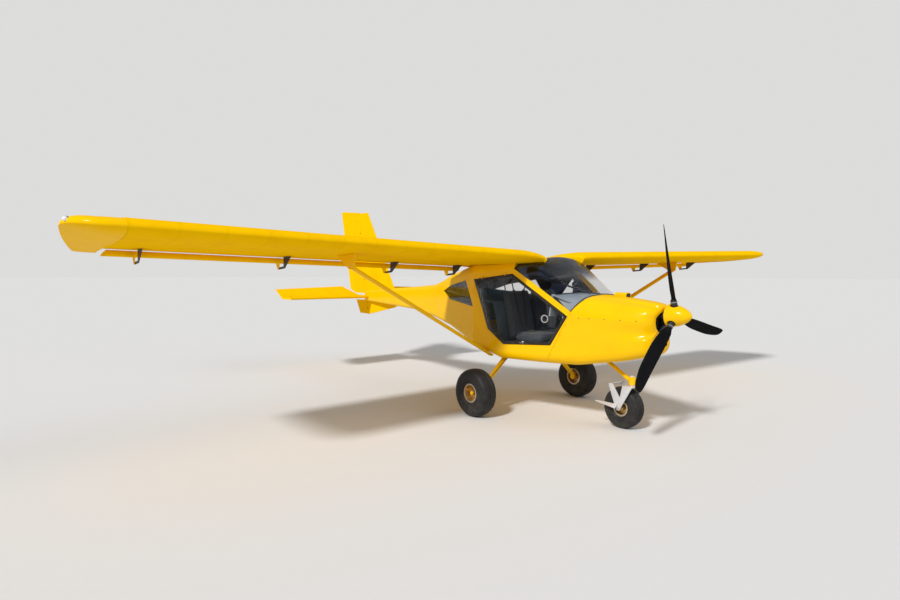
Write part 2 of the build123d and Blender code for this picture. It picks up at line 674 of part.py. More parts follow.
def make_wheel(origin, radius, width, rim_radius, name):
    """A tyre and its rim with a hub."""
    x_shoulder, height = width * 0.34, radius - rim_radius
    bead = width * 0.36
    middle, top = (-width / 2, rim_radius + height * 0.48), (-x_shoulder, radius - height * 0.07)
    left = [Vector(0, y, r) for y, r in ((-bead, rim_radius), middle, top)]
    right = [Vector(0, -v.Y, v.Z) for v in reversed(left)]
    tyre = make_face(Wire([
        ThreePointArc(*left),
        ThreePointArc(left[2], Vector(0, 0, radius), right[0]),
        ThreePointArc(*right),
        Line(right[2], left[0]),
    ]))
    save(revolve_about_y(tyre, origin), f"tyre_{name}")
    wall, hub, bore = RIM_WALL, AXLE_RADIUS + HUB_WALL, AXLE_RADIUS + RUNNING
    ring = Pos(0, 0, rim_radius - wall / 2) * yz_rectangle(2 * bead, wall)
    web = Pos(0, 0, (rim_radius + hub) / 2 - wall / 2) * yz_rectangle(WEB_THICK, rim_radius - hub)
    core = Pos(0, 0, (hub + bore) / 2) * yz_rectangle(HUB_WIDTH, hub - bore)
    save(revolve_about_y(ring + web + core, origin), f"wheel_{name}")


def yz_rectangle(width, height):
    """A rectangle in the YZ plane."""
    return Plane.YZ * Rectangle(width, height)


def make_gear():
    """Main legs, nose leg, fork and the three wheels."""
    for side, name in ((1, "left"), (-1, "right")):
        origin = (x_of(MAIN_STATION), side * MAIN_TRACK_HALF, MAIN_RADIUS)
        make_wheel(origin, MAIN_RADIUS, MAIN_WIDTH, RIM_RADIUS_MAIN, name)
    body = hull(1500, CABIN_END, 0)
    root, tip = Vector(x_of(MAIN_STATION), *MAIN_LEG_ROOT), Vector(x_of(MAIN_STATION), *MAIN_LEG_TIP)
    along = (tip - root).normalized()
    plane = Plane(origin=root, x_dir=(1, 0, 0), z_dir=along)
    blade = extrude(plane * RectangleRounded(MAIN_LEG_WIDTH, MAIN_LEG_THICK, 9), amount=(tip - root).length)
    end = HUB_WIDTH / 2 + 4  # the axle's shoulder and its nut stand clear of the hub
    inner, outer = MAIN_TRACK_HALF - end - 51, MAIN_TRACK_HALF - end
    x, nut_y = x_of(MAIN_STATION), MAIN_TRACK_HALF + HUB_WIDTH / 2 + 1
    boss = cylinder_along((x, inner, MAIN_RADIUS), (x, outer, MAIN_RADIUS), AXLE_RADIUS + 18)
    axle = cylinder_along((x, outer, MAIN_RADIUS), (x, nut_y + 14, MAIN_RADIUS), AXLE_RADIUS)
    nut = cylinder_along((x, nut_y, MAIN_RADIUS), (x, nut_y + 12, MAIN_RADIUS), AXLE_RADIUS + 8)
    leg = (blade - body) + boss + axle + nut
    port_and_starboard(leg.solids().sort_by(SortBy.VOLUME)[-1], "main_leg")

    x = x_of(STEER_STATION)
    top = (x_of(FIREWALL_STATION + 60), 0, nose_leg_height(FIREWALL_STATION + 60))
    leg = cylinder_along((x, 0, nose_leg_height(STEER_STATION)), top, NOSE_LEG_RADIUS)
    leg = leg & Pos(x_of(FIREWALL_STATION) + 500, 0, 500) * Box(1000, 200, 1000)
    middle, height = (SLEEVE_LOW + SLEEVE_HIGH) / 2, SLEEVE_HIGH - SLEEVE_LOW
    sleeve = Pos(x, 0, middle) * Cylinder(SLEEVE_RADIUS, height)
    bore = Pos(x, 0, middle) * Cylinder(STEER_PIN + RUNNING, 2 * height)
    save(leg + sleeve - bore, "nose_leg")
    make_fork()
    make_wheel((x_of(NOSE_STATION), 0, NOSE_RADIUS), NOSE_RADIUS, NOSE_WIDTH, RIM_RADIUS_NOSE, "nose")


def make_fork():
    """Nose fork: crown, pin, bent side plates with two arms each, axle and rear plates."""
    outside = FORK_HALF + FORK_PLATE
    front, rear = CROWN_STATIONS
    crown = [(front, CROWN_LOW), (front, CROWN_HIGH), (rear, CROWN_HIGH), (rear, CROWN_LOW)]
    fork = prism_xz(crown, -outside, outside)
    steer_x, axle_x = x_of(STEER_STATION), x_of(NOSE_STATION)
    top = SLEEVE_HIGH + 1  # underside of the steering pin's head
    fork += cylinder_along((steer_x, 0, CROWN_LOW), (steer_x, 0, top + 2), STEER_PIN)
    fork += cylinder_along((steer_x, 0, top), (steer_x, 0, top + 10), STEER_PIN + PIN_HEAD)
    station, height, radius = FORK_BAR
    fork += cylinder_along((x_of(station), -outside, height), (x_of(station), outside, height), radius)
    reach = outside + TOW_PIN
    fork += cylinder_along((axle_x, -reach, NOSE_RADIUS), (axle_x, reach, NOSE_RADIUS), AXLE_RADIUS)
    arms = [
        (front, CROWN_HIGH), (rear, CROWN_HIGH), (676, CROWN_HIGH - 122), (762, CROWN_HIGH + 4),
        (806, CROWN_HIGH + 4), (806, CROWN_HIGH - 20), (722, NOSE_RADIUS - 1), (712, NOSE_RADIUS - 19),
        (684, NOSE_RADIUS - 19), (668, NOSE_RADIUS + 5),
    ]
    for low in (FORK_HALF, -outside):
        fork += prism_xz(arms, low, low + FORK_PLATE)
    save(fork, "nose_fork")
    plate = [(700, outside), (700, outside + 46), (960, outside + 12), (960, outside)]
    outline = Polyline(*[(x_of(s), y, 0) for s, y in plate], close=True)
    stay = Pos(0, 0, NOSE_RADIUS + 39) * extrude(make_face(outline), amount=FORK_PLATE, dir=(0, 0, 1))
    save(mirror(stay, about=Plane.XZ) + stay, "fork_plates")


def blade_face(radius, chord, thick, pitch, sweep):
    """One blade section across the radius, with the blade pointing up."""
    half = chord / 2
    outline = Wire([
        ThreePointArc((-half, 0), (0, thick * 0.62), (half, 0)),
        ThreePointArc((half, 0), (0, -thick * 0.38), (-half, 0)),
    ])
    # Across the disc at no pitch: the section's x runs to port and its y points forward
    plane = Plane(origin=(0, 0, radius), x_dir=(0, 1, 0), z_dir=(0, 0, -1))
    return plane * Rot(0, 0, -pitch) * Pos(sweep, 0) * make_face(outline)


def make_propeller():
    """Hub with its shaft, three blades and the spinner."""
    centre = (x_of(PROP_STATION), 0, PROP_AXIS_Z)
    plate_front = SPINNER_LENGTH - 6

    def bar(front, rear, radius):
        return cylinder_along((x_of(front), 0, PROP_AXIS_Z), (x_of(rear), 0, PROP_AXIS_Z), radius)

    hub = bar(HUB_FRONT, plate_front, HUB_RADIUS) + bar(plate_front, ENGINE[0] + 40, SHAFT_RADIUS)
    save(hub, "propeller_hub")

    blades, holes = Part(), Part()
    shell_core = Pos(*centre) * Rot(0, 90, 0) * Cylinder(HUB_RADIUS, 400)
    for i in range(3):
        turn = Pos(*centre) * Rot(PROP_PHASE + 120 * i, 0, 0)
        blade = loft([blade_face(*row) for row in BLADE], ruled=True)
        root = Pos(0, 0, 85) * Cylinder(BLADE_ROOT, 130)
        blades += (turn * (blade + root)) - shell_core
        holes += turn * Pos(0, 0, 90) * Cylinder(BLADE_ROOT + 14, 140)
    save(blades, "propeller_blades")

    base, nose = SPINNER_RADIUS, SPINNER_LENGTH
    outer = ogive(nose, base)
    inner = ogive(nose - SPINNER_WALL, base - SPINNER_WALL)
    shell = outer - Pos(-SPINNER_WALL, 0, 0) * inner
    plate = bar(plate_front, nose, base - 1) - bar(plate_front - 5, nose + 5, SHAFT_RADIUS)
    save(shell - holes + plate, "spinner")


def ogive(length, radius):
    """A pointed round nose of a length and a base radius, its tip at station 0."""
    tip, base = Vector(0, 0, 0), Vector(-length, 0, radius)
    outline = make_face(Wire([
        ThreePointArc(tip, Vector(-length * 0.30, 0, radius * 0.66), base),
        Line(base, Vector(-length, 0, 0)),
        Line(Vector(-length, 0, 0), tip),
    ]))
    return Pos(x_of(0), 0, PROP_AXIS_Z) * revolve(outline, axis=Axis.X)


def make_fuselage(wings):
    """Cabin, rear fuselage, cowls, firewall, fixed windows and the cabin's inside."""
    cowl_front = ahead_of_seam()
    walls = hull(868, CABIN_END, 0) - hull(868, CABIN_END, SKIN) - cowl_front
    # The screen and the roof stand above the pillar line and between the wing roots
    high, roof_end = PILLAR_HIGH[0] + 1, ROOF[-1][0]
    above = prism_xz([(700, pillar_top(700)), (high, pillar_top(high)), (high, 1900), (700, 1900)], -900, 900)
    roof_hole = Pos(x_of((1500 + roof_end) / 2), 0, 1600) * Box(roof_end - 1500, 2 * WING_ROOT_Y, 400)
    door_hole = side_plate(offset_corners(DOOR, FIT), -3 * DOOR_THICK, 2 * DOOR_THICK)
    window_hole = prism_xz(REAR_WINDOW, 300, 700)
    walls = walls - above - roof_hole - wings
    for hole in (door_hole, window_hole):
        walls = walls - hole - mirror(hole, about=Plane.XZ)
    hinge_leaves = door_hinges(False)
    save(walls + hinge_leaves + mirror(hinge_leaves, about=Plane.XZ), "cabin_shell")

    pane = (hull(1930, CABIN_END, 0) - hull(1930, CABIN_END, GLASS)) & window_hole
    port_and_starboard(pane, "rear_window")

    boom = hull(CABIN_END, STERN, 0) - hull(CABIN_END, STERN, BOOM_SKIN)
    save(boom + section_plate(STERN, BOOM_SKIN / 2, BOOM_SKIN), "rear_fuselage")
    save(section_plate(CABIN_END, SKIN, SKIN), "rear_bulkhead")

    space = Pos(x_of(FIREWALL_STATION + FIREWALL / 2), 0, 1000) * Box(FIREWALL, 1400, 1400)
    save(hull(868, 1182, COWL_SKIN) & space & cowl_front, "firewall")
    make_cowls(cowl_front)
    make_engine()


def section_plate(station, inset, thick):
    """A flat plate that fills the fuselage just ahead of a tabled station."""
    face = section_face([s for s in SECTIONS if s[0] == station][0], inset)
    return extrude(face, amount=thick, dir=(1, 0, 0))


def make_cowls(cowl_front):
    """Upper and lower cowls with the air intakes, and the scoop on top."""
    front_station = SECTIONS[0][0]
    behind_face = Pos(x_of(front_station + COWL_SKIN) - 700, 0, 1000) * Box(1400, 1400, 1200)
    inside = hull(front_station, 1500, COWL_SKIN) & behind_face
    cowl = (hull(front_station, 1500, 0) - inside) & cowl_front
    wall_x = x_of(front_station)
    holes = Pos(wall_x, 0, INTAKE[0]) * Rot(0, 90, 0) * Cylinder(INTAKE[1], 60)
    half, low, high = LOWER_INTAKE
    holes += Pos(wall_x, 0, (low + high) / 2) * Box(60, 2 * half, high - low)
    low_edge = 640
    leg_station = STEER_STATION + (low_edge - nose_leg_height(STEER_STATION)) / NOSE_LEG_SLOPE
    holes += Pos(x_of(leg_station), 0, low_edge) * Box(110, 2 * (NOSE_LEG_RADIUS + FIT), 110)
    cowl = cowl - holes
    upper = Pos(0, 0, COWL_SPLIT_Z + 500) * Box(9000, 2000, 1000)
    save(cowl & upper, "upper_cowl")
    save(cowl - upper, "lower_cowl")

    outer = Pos(x_of(800), 95, 1302) * Box(140, 84, 76)
    outer = fillet(outer.edges().filter_by(Axis.X).group_by(Axis.Z)[-1], 26)
    mouth = Pos(x_of(782), 95, 1300) * Box(160, 70, 62)
    scoop = outer - fillet(mouth.edges().filter_by(Axis.X).group_by(Axis.Z)[-1], 20)
    save(scoop - hull(620, 1182, 0), "cowl_scoop")


def nose_leg_height(station):
    """Height of the nose leg's centre line at a station."""
    return SLEEVE_LOW + 29.7 + NOSE_LEG_SLOPE * (station - STEER_STATION)


def make_engine():
    """Engine block with the bore for the propeller shaft, and its tube mount."""
    front, rear, width, low, high = ENGINE
    block = Pos(x_of((front + rear) / 2), 0, (low + high) / 2) * Box(rear - front, width, high - low)
    bore = Pos(x_of(front), 0, PROP_AXIS_Z) * Rot(0, 90, 0) * Cylinder(SHAFT_RADIUS + RUNNING, 90)
    save(block - bore, "engine")
    tubes = Part()
    for side in (-1, 1):
        for height, spread in ((low + 30, 20), (high - 30, 40)):
            start = (x_of(rear), side * (width / 2 - 30), height)
            end = (x_of(FIREWALL_STATION), side * (width / 2 + spread), height)
            tubes += cylinder_along(start, end, MOUNT_TUBE)
    between = Pos(x_of((rear + FIREWALL_STATION) / 2), 0, 1000) * Box(FIREWALL_STATION - rear, 1400, 1400)
    save(tubes & between, "engine_mount")


def pillar_top(station):
    """Height of the screen pillars' upper edge at a station."""
    slope = (PILLAR_HIGH[1] - PILLAR_LOW[1]) / (PILLAR_HIGH[0] - PILLAR_LOW[0])
    rise = PILLAR_WIDTH / 2 * sqrt(1 + slope ** 2)
    return PILLAR_LOW[1] + rise + slope * (station - PILLAR_LOW[0])


def screen_face(row):
    """One section of the windscreen: three arcs outside and three inside."""
    station, half, side, shoulder, shoulder_z, middle = row
    x = x_of(station)
    bulge = (half - (half - shoulder) * 0.34, side + (shoulder_z - side) * 0.66)

    def arcs(wall):
        """The three arcs, set in by a wall."""
        def at(side_y, y, z):
            return Vector(x, side_y * y, z)

        foot, top = (half - wall, side), middle - wall
        bend = (bulge[0] - 0.8 * wall, bulge[1] - 0.5 * wall)
        edge = (shoulder - 0.5 * wall, shoulder_z - 0.85 * wall)
        return foot, [
            ThreePointArc(at(-1, *foot), at(-1, *bend), at(-1, *edge)),
            ThreePointArc(at(-1, *edge), at(0, 0, top), at(1, *edge)),
            ThreePointArc(at(1, *edge), at(1, *bend), at(1, *foot)),
        ]

    (outer, outside), (inner, inside) = arcs(0), arcs(GLASS)
    edges = [Line((x, side_y * outer[0], side), (x, side_y * inner[0], side)) for side_y in (-1, 1)]
    return make_face(Wire(outside + inside + edges))


def roof_face(station, side, middle):
    """One section of the roof glass."""
    x, half = x_of(station), ROOF_HALF
    arcs = []
    for drop in (0, GLASS):
        low, high = side - drop, middle - drop
        arcs.append(ThreePointArc((x, -half, low), (x, 0, high), (x, half, low)))
    edges = [Line((x, y, side), (x, y, side - GLASS)) for y in (-half, half)]
    return make_face(Wire(arcs + edges))


def make_glass(wings):
    """Windscreen, the clear roof between the wing roots, and the antenna on the roof."""
    rows = [SCREEN_FOOT]
    rows += [(row[0], side_half(row[0]), pillar_top(row[0]) + SEAT_GAP, *row[1:]) for row in SCREEN]
    screen = loft([screen_face(row) for row in rows], ruled=True) - wings - ahead_of_seam(0.5)
    screen = screen.solids().sort_by(SortBy.VOLUME)[-1]
    save(screen, "windscreen")
    roof = loft([roof_face(*row) for row in ROOF], ruled=True)
    save(roof, "roof_glass")
    foot, tip = [(x_of(s), 0, z) for s, z in ANTENNA]
    base = Pos(*foot) * Cylinder(4 * ANTENNA_RADIUS, 6 * ANTENNA_RADIUS) - roof
    whip = cylinder_along((foot[0], 0, foot[2] + 2 * ANTENNA_RADIUS), tip, ANTENNA_RADIUS)
    save(base.solids().sort_by(Axis.Z)[-1] + whip, "antenna")
    return screen


def make_cabin_frame(screen):
    """Roof rails under the glass, two cross tubes and the overhead tubes."""
    frame = Part()
    inner = ROOF_HALF - RAIL_WIDTH
    top = [RAIL_FRONT] + [(station, side) for station, side, middle in ROOF]
    corners = [(station, height - GLASS) for station, height in top]
    corners += [(station, height - GLASS - RAIL_HEIGHT) for station, height in reversed(top)]
    for low in (inner, -WING_ROOT_Y):
        frame += prism_xz(corners, low, low + WING_ROOT_Y - inner)
    reach = inner + RAIL_WIDTH / 2
    for station, height in (FRONT_TUBE, REAR_TUBE):
        frame += cylinder_along((x_of(station), -reach, height), (x_of(station), reach, height), TUBE)
    for side in (-1, 1):
        start, end = [(x_of(station), height) for station, height in (FRONT_TUBE, REAR_TUBE)]
        frame += cylinder_along((start[0], 0, start[1]), (end[0], side * (inner - 30), end[1]), TUBE - 2)
    save((frame & hull(868, CABIN_END, SKIN)) - screen, "cabin_frame")


def seat_back_point(depth, up):
    """A station and a height behind and above the front foot of the seat backs."""
    tilt = radians(SEAT_TILT)
    station, height = SEAT_BACK_FOOT
    return (station + depth * cos(tilt) + up * sin(tilt), height - depth * sin(tilt) + up * cos(tilt))


def make_interior():
    """Seats, instrument panel, control stick, and the wall and shelf behind the seats."""
    inside = hull(868, CABIN_END, SKIN)
    margin, wall = DOOR_THICK + DOOR_ROOM, SEAT_BASE_WALL
    room = cabin_room(margin)
    front, rear = SEAT_FRONT - 10, SEAT_BACK_FOOT[0] + 30
    base = prism_xz([(front, 500), (front, SEAT_TOP), (rear, SEAT_TOP), (rear, 500)], -SIDE, SIDE) & room
    front, rear, top = front + wall, rear - wall, SEAT_TOP - wall
    core = prism_xz([(front, 500), (front, top), (rear, top), (rear, 500)], -SIDE, SIDE)
    base -= core & cabin_room(margin + wall)
    save(base & inside, "seat_base")
    length = SEAT_BACK_FOOT[0] - 6 - SEAT_FRONT
    for side, name in ((1, "left"), (-1, "right")):
        middle = (x_of(SEAT_FRONT + length / 2), side * SEAT_Y, SEAT_TOP + SEAT_GAP + SEAT_CUSHION / 2)
        cushion = Pos(*middle) * Box(length, SEAT_WIDTH, SEAT_CUSHION)
        save(fillet(cushion.edges(), 22), f"seat_cushion_{name}")
        foot = (x_of(SEAT_BACK_FOOT[0]), side * SEAT_Y, SEAT_BACK_FOOT[1])
        back = Box(SEAT_BACK_THICK, SEAT_WIDTH, SEAT_BACK_HEIGHT)
        back = Pos(-SEAT_BACK_THICK / 2, 0, SEAT_BACK_HEIGHT / 2) * back
        save(Pos(*foot) * Rot(0, -SEAT_TILT, 0) * fillet(back.edges(), 24), f"seat_back_{name}")
    near, far = SEAT_BACK_THICK + SEAT_GAP, SEAT_BACK_THICK + SEAT_GAP + SKIN
    end = CABIN_END - SKIN
    outline = [seat_back_point(near, -240), seat_back_point(near, 440), (end, 1330)]
    outline += [(end, 1318), seat_back_point(far, 424), seat_back_point(far, -240)]
    save(prism_xz(outline, -SIDE, SIDE) & room & inside, "baggage_wall")
    face = FIREWALL_STATION + FIREWALL
    outline = [(face, 1205), (1290, 1302), (1326, 1090), (1340, 1090), (1308, 1318), (face, 1221)]
    save(prism_xz(outline, -SIDE, SIDE) & hull(868, 1500, margin), "instrument_panel")
    stick = cylinder_along((x_of(1376), 0, 560), (x_of(1395), 0, 950), 12)
    grip = cylinder_along((x_of(1394), 0, 940), (x_of(1404), 0, 1060), 19)
    save((stick & inside) + grip, "control_stick")


def main():
    wings = make_wings()
    make_fuselage(wings)
    screen = make_glass(wings)
    make_cabin_frame(screen)
    make_interior()
    make_doors()
    make_struts(wings)
    make_tail()
    make_gear()
    make_propeller()


main()
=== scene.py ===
# A two-seat high-wing microlight aircraft: skins, glass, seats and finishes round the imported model.
#
# Metres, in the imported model's frame: +X forward, +Y to port, +Z up. A station is a distance aft
# of the spinner's tip.

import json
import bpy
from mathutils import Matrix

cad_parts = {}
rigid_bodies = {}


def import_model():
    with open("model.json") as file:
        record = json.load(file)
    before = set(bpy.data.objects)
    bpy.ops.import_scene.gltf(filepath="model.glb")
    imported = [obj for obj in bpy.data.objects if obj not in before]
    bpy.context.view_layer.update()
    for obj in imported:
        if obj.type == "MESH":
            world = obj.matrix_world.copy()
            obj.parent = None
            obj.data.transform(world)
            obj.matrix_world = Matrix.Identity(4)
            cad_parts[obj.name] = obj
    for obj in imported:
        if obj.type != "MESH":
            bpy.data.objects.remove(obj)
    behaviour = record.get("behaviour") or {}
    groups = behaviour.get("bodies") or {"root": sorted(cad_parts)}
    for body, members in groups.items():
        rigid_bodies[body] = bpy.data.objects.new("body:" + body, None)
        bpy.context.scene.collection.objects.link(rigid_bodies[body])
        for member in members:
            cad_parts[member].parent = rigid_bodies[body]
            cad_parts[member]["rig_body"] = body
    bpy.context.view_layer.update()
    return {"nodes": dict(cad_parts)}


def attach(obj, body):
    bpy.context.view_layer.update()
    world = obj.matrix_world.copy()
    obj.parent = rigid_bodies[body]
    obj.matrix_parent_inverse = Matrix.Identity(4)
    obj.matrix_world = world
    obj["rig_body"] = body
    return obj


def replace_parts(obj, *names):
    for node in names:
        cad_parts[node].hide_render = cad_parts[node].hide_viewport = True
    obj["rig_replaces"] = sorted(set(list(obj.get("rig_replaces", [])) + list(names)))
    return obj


bl_info = {
    "name": "Microlight aircraft",
    "version": (1, 0, 0),
    "blender": (4, 5, 0),
    "location": "3D View > Sidebar > Aircraft",
    "description": "Builds the skins, glass, seats and fittings of a high-wing microlight",
    "category": "Object",
}

from contextlib import contextmanager
from math import cos, pi, radians, sin, tan

import bpy
import numpy as np
from mathutils import Matrix, Vector

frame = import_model()

NOSE_X = 3.242  # X of the spinner's tip
PROP_AXIS_Z = 1.146
PROP_STATION = 0.160
PROP_PHASE = 15.5  # the upper blade's lean to starboard, in degrees
SPINNER_LENGTH = 0.220
SPINNER_RADIUS = 0.106

# Seam behind the cowl: station and height of its top, its bend and its foot
SEAM = [(0.950, 1.315), (1.072, 1.150), (1.349, 0.618)]
SEAM_GAP = 0.003
SPLIT_Z = 1.080  # between the upper and the lower cowl
COWL_FRONT = 0.300
COWL_MIDDLE = 1.020  # height that the rounding of the nose turns round
NOSE_ROUNDING = 0.075  # how far back the rounding reaches
INTAKE = (1.078, 0.098, 0.105)  # height, half width and half height
LIP_REACH = 0.050  # how far the upper lip stands forward

# Half sections of the cowl: station, then half width and height of each point from the top down
COWL = [
    (0.300, [(0, 1.240), (.062, 1.228), (.074, 1.208), (.112, 1.180), (.140, 1.138), (.150, 1.078),
             (.126, .978), (.172, .915), (.170, .858), (.146, .808), (.090, .787), (0, .785)]),
    (0.360, [(0, 1.258), (.078, 1.247), (.092, 1.226), (.142, 1.198), (.184, 1.148), (.202, 1.080),
             (.170, .972), (.204, .902), (.203, .836), (.176, .780), (.108, .759), (0, .757)]),
    (0.460, [(0, 1.274), (.091, 1.264), (.107, 1.244), (.172, 1.214), (.222, 1.158), (.246, 1.082),
             (.222, .970), (.238, .888), (.234, .808), (.202, .748), (.127, .728), (0, .727)]),
    (0.620, [(0, 1.293), (.108, 1.282), (.126, 1.268), (.206, 1.235), (.262, 1.174), (.290, 1.088),
             (.276, .968), (.277, .870), (.268, .778), (.231, .708), (.150, .686), (0, .684)]),
    (0.868, [(0, 1.312), (.130, 1.303), (.150, 1.298), (.240, 1.264), (.307, 1.192), (.335, 1.095),
             (.334, .965), (.333, .850), (.328, .745), (.295, .668), (.215, .641), (0, .640)]),
    (0.960, [(0, 1.318), (.150, 1.308), (.180, 1.303), (.250, 1.281), (.322, 1.212), (.352, 1.100),
             (.3535, .960), (.353, .845), (.350, .735), (.318, .652), (.240, .625), (0, .624)]),
    (1.072, [(0, 1.328), (.170, 1.318), (.200, 1.313), (.275, 1.292), (.345, 1.237), (.3762, 1.130),
             (.3762, .960), (.3762, .840), (.3762, .719), (.344, .641), (.266, .609), (0, .609)]),
    (1.400, [(0, 1.360), (.200, 1.350), (.250, 1.345), (.330, 1.330), (.420, 1.260), (.4467, 1.130),
             (.4467, .960), (.4467, .840), (.4467, .700), (.4175, .630), (.351, .601), (0, .601)]),
]

PILLAR = [(1.082, 1.1520), (1.730, 1.5800)]  # station and height of the screen pillars' upper edge
ROOF_HALF = 0.294
SCREEN_CORNER = (0.960, 0.335, 1.190)  # station, half width and height of the screen's front corner
SCREEN_BEND_Z = 1.1465  # height of the screen's foot at the bend of the seam
# Windscreen: station, half width and height of its shoulder, and height of its crown
SCREEN = [
    (0.960, 0.243, 1.286, 1.320), (1.072, 0.280, 1.343, 1.410), (1.240, 0.300, 1.462, 1.525),
    (1.400, 0.300, 1.581, 1.632), (1.560, ROOF_HALF, 1.672, 1.710), (1.730, ROOF_HALF, 1.659, 1.699),
]
# Clear roof: station, and height of its sides and of its middle
ROOF = [(1.730, 1.659, 1.699), (2.100, 1.640, 1.678), (2.790, 1.540, 1.556)]

CABIN_WIDEST = (2.262, 0.632)  # station and half width
CABIN_TAPER = 0.215  # how fast the half width shrinks forward of there

WING_CHORD = 1.110
WING_FULL_Y = 0.580
WING_CAP_Y = 4.250
WING_ROOT_Y = 0.300
WING_NOSE = (1.505, 1.690)  # station and height on the centre line
WING_TILT = radians(4.2)  # nose up
WING_SWEEP = tan(radians(2.6))  # forward
WING_RISE = tan(radians(1.6))
WING_UP, WING_DOWN = 0.094, 0.0455  # most height of the section above and below the chord
# Wing section: place along the chord and above it, from the lower rear edge round by the nose
WING_SECTION = [
    (1.110, -.016), (.950, -.0190), (.780, -.027), (.600, -.036), (.466, -.043), (.320, -.0455),
    (.200, -.0445), (.110, -.0405), (.055, -.032), (.022, -.020), (.005, -.006), (0, .010),
    (.005, .027), (.022, .045), (.055, .0615), (.110, .0765), (.190, .0875), (.290, .0935),
    (.400, .094), (.520, .0885), (.660, .074), (.800, .0525), (.950, .0245), (1.110, -.0085),
]
# Wing tip: place along the span, front and rear along the chord, height of the section above
# and below, how far it is lifted, and how far its rear edge droops
TIP = [
    (0, 0, 1.333, .094, .0455, 0, .012), (.08, .006, 1.333, .092, .042, .002, .013),
    (.15, .024, 1.333, .087, .036, .006, .014), (.172, .034, 1.265, .084, .032, .009, .013),
    (.240, .085, .950, .070, .024, .019, .010), (.285, .140, .700, .052, .016, .026, .006),
    (.316, .205, .480, .030, .009, .031, .003), (.329, .270, .370, .010, .004, .033, .001),
]
RIB_PITCH = 0.306

# Blade: radius, chord, thickness, pitch in degrees and sweep
BLADE = [
    (.100, .050, .040, 64, 0), (.215, .095, .022, 56, .005), (.400, .118, .016, 48, .012),
    (.620, .114, .011, 41, .009), (.780, .092, .008, 37, -.005), (.840, .064, .006, 36, -.014),
    (.853, .040, .005, 35, -.020), (.858, .012, .003, 35, -.022),
]
BLADE_ROOT = 0.024

MAIN_WHEEL = dict(station=1.972, y=0.841, radius=0.255, width=0.206, rim=0.096, hub=0.090)
NOSE_WHEEL = dict(station=0.698, y=0.0, radius=0.207, width=0.150, rim=0.078, hub=0.090)
FORK_CROWN = (0.606, 0.440)  # station and height
BEAD = 0.36  # a bead's place off the middle, as a share of the tyre's width

SEAT_TOP = 0.7923
SEAT_Y = 0.222
SEAT_TILT = radians(14)
BACK_FOOT = (1.832, 0.814)  # station and height of the foot of a seat's back

PANEL_TOP = (1.308, 1.318)  # station and height of the instrument panel's top
PANEL_FALL = (0.032, 0.228)  # how far its foot is aft and below
PANEL_OUT = Vector((-.990, 0, .139))  # away from its face
PANEL_UP = Vector((.139, 0, .990))  # along its face

FLOOR_COLOUR = (.745, .735, .72, 1)
SKY_COLOUR = (.78, .80, .83, 1)
BACKDROP_COLOUR = (.72, .72, .715, 1)
# Lamps: name, place, strength and width in degrees
LAMPS = [("key_lamp", (3.4, -9.6, 8.2), 2.8, 7), ("fill_lamp", (7, 5, 7), .45, 40)]
CAMERA_LENS = 23.704  # mm, on a sensor 36 mm wide
# Camera: its directions to the right, up and back, and its place
CAMERA = [(.62315, .78210, .00249), (-.03719, .02646, .99896), (.78122, -.62260, .04558),
          (6.0238, -4.9825, 1.5319)]


def colour_setting(name, description, *default):
    return bpy.props.FloatVectorProperty(
        name=name, description=description, subtype="COLOR", size=3, min=0, max=1, default=default)


def size_setting(name, description, default, highest):
    return bpy.props.FloatProperty(
        name=name, description=description, subtype="DISTANCE", unit="LENGTH", min=0, max=highest,
        default=default)


class AircraftColours(bpy.types.PropertyGroup):
    """Colours of the aircraft's finishes."""
    paint: colour_setting("Paint", "Gloss paint of the shells, wings and tail", .95, .545, .0008)
    blade: colour_setting("Blades", "Satin composite of the propeller blades", .006, .006, .007)
    cloth: colour_setting("Seat cloth", "Woven cloth of the seats", .050, .062, .075)
    rim: colour_setting("Wheel rims", "Anodised metal of the wheels", .62, .40, .13)


class AircraftSizes(bpy.types.PropertyGroup):
    """Sizes of detail that don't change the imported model's dimensions."""
    rib_sag: size_setting("Rib sag", "How far the wing's fabric sinks between two ribs", .0028, .01)
    glass_bulge: size_setting("Door bulge", "How far a door's glass stands out in its middle", .022, .04)
    tread_depth: size_setting("Tread depth", "Depth of the grooves round a tyre", .006, .01)
    seat_swell: size_setting("Seat swell", "Most that a point of a filled seat pad moves", .014, .03)


def colours():
    return bpy.context.scene.aircraft_colours


def sizes():
    return bpy.context.scene.aircraft_sizes


# Node groups and materials

def group_tree(name, inputs, outputs):
    """A node group with its input and output sockets. A value's length says its kind."""
    tree = bpy.data.node_groups.new(name, "ShaderNodeTree")
    for label, value in inputs.items():
        kind = {3: "Vector", 4: "Color"}[len(value)] if isinstance(value, tuple) else "Float"
        socket = tree.interface.new_socket(label, in_out="INPUT", socket_type="NodeSocket" + kind)
        socket.default_value = value
    for label, kind in outputs.items():
        tree.interface.new_socket(label, in_out="OUTPUT", socket_type="NodeSocket" + kind)
    return tree, tree.nodes.new("NodeGroupInput").outputs, tree.nodes.new("NodeGroupOutput").inputs


def wire(tree, inputs, links):
    """A link or a plain value into each named or numbered input."""
    for key, source in dict(links).items():
        if isinstance(source, bpy.types.NodeSocket):
            tree.links.new(source, inputs[key])
        else:
            inputs[key].default_value = source


def node(tree, kind, links=(), **values):
    """The outputs of a new node with its settings and inputs."""
    made = tree.nodes.new("ShaderNode" + kind)
    for key, value in values.items():
        setattr(made, key, value)
    wire(tree, made.inputs, links)
    return made.outputs


def mixed(tree, factor, first, second):
    """A colour between two others."""
    return node(tree, "Mix", {0: factor, 6: first, 7: second}, data_type="RGBA")[2]


def maths(tree, operation, *terms, clamp=False):
    return node(tree, "Math", dict(enumerate(terms)), operation=operation, use_clamp=clamp)[0]


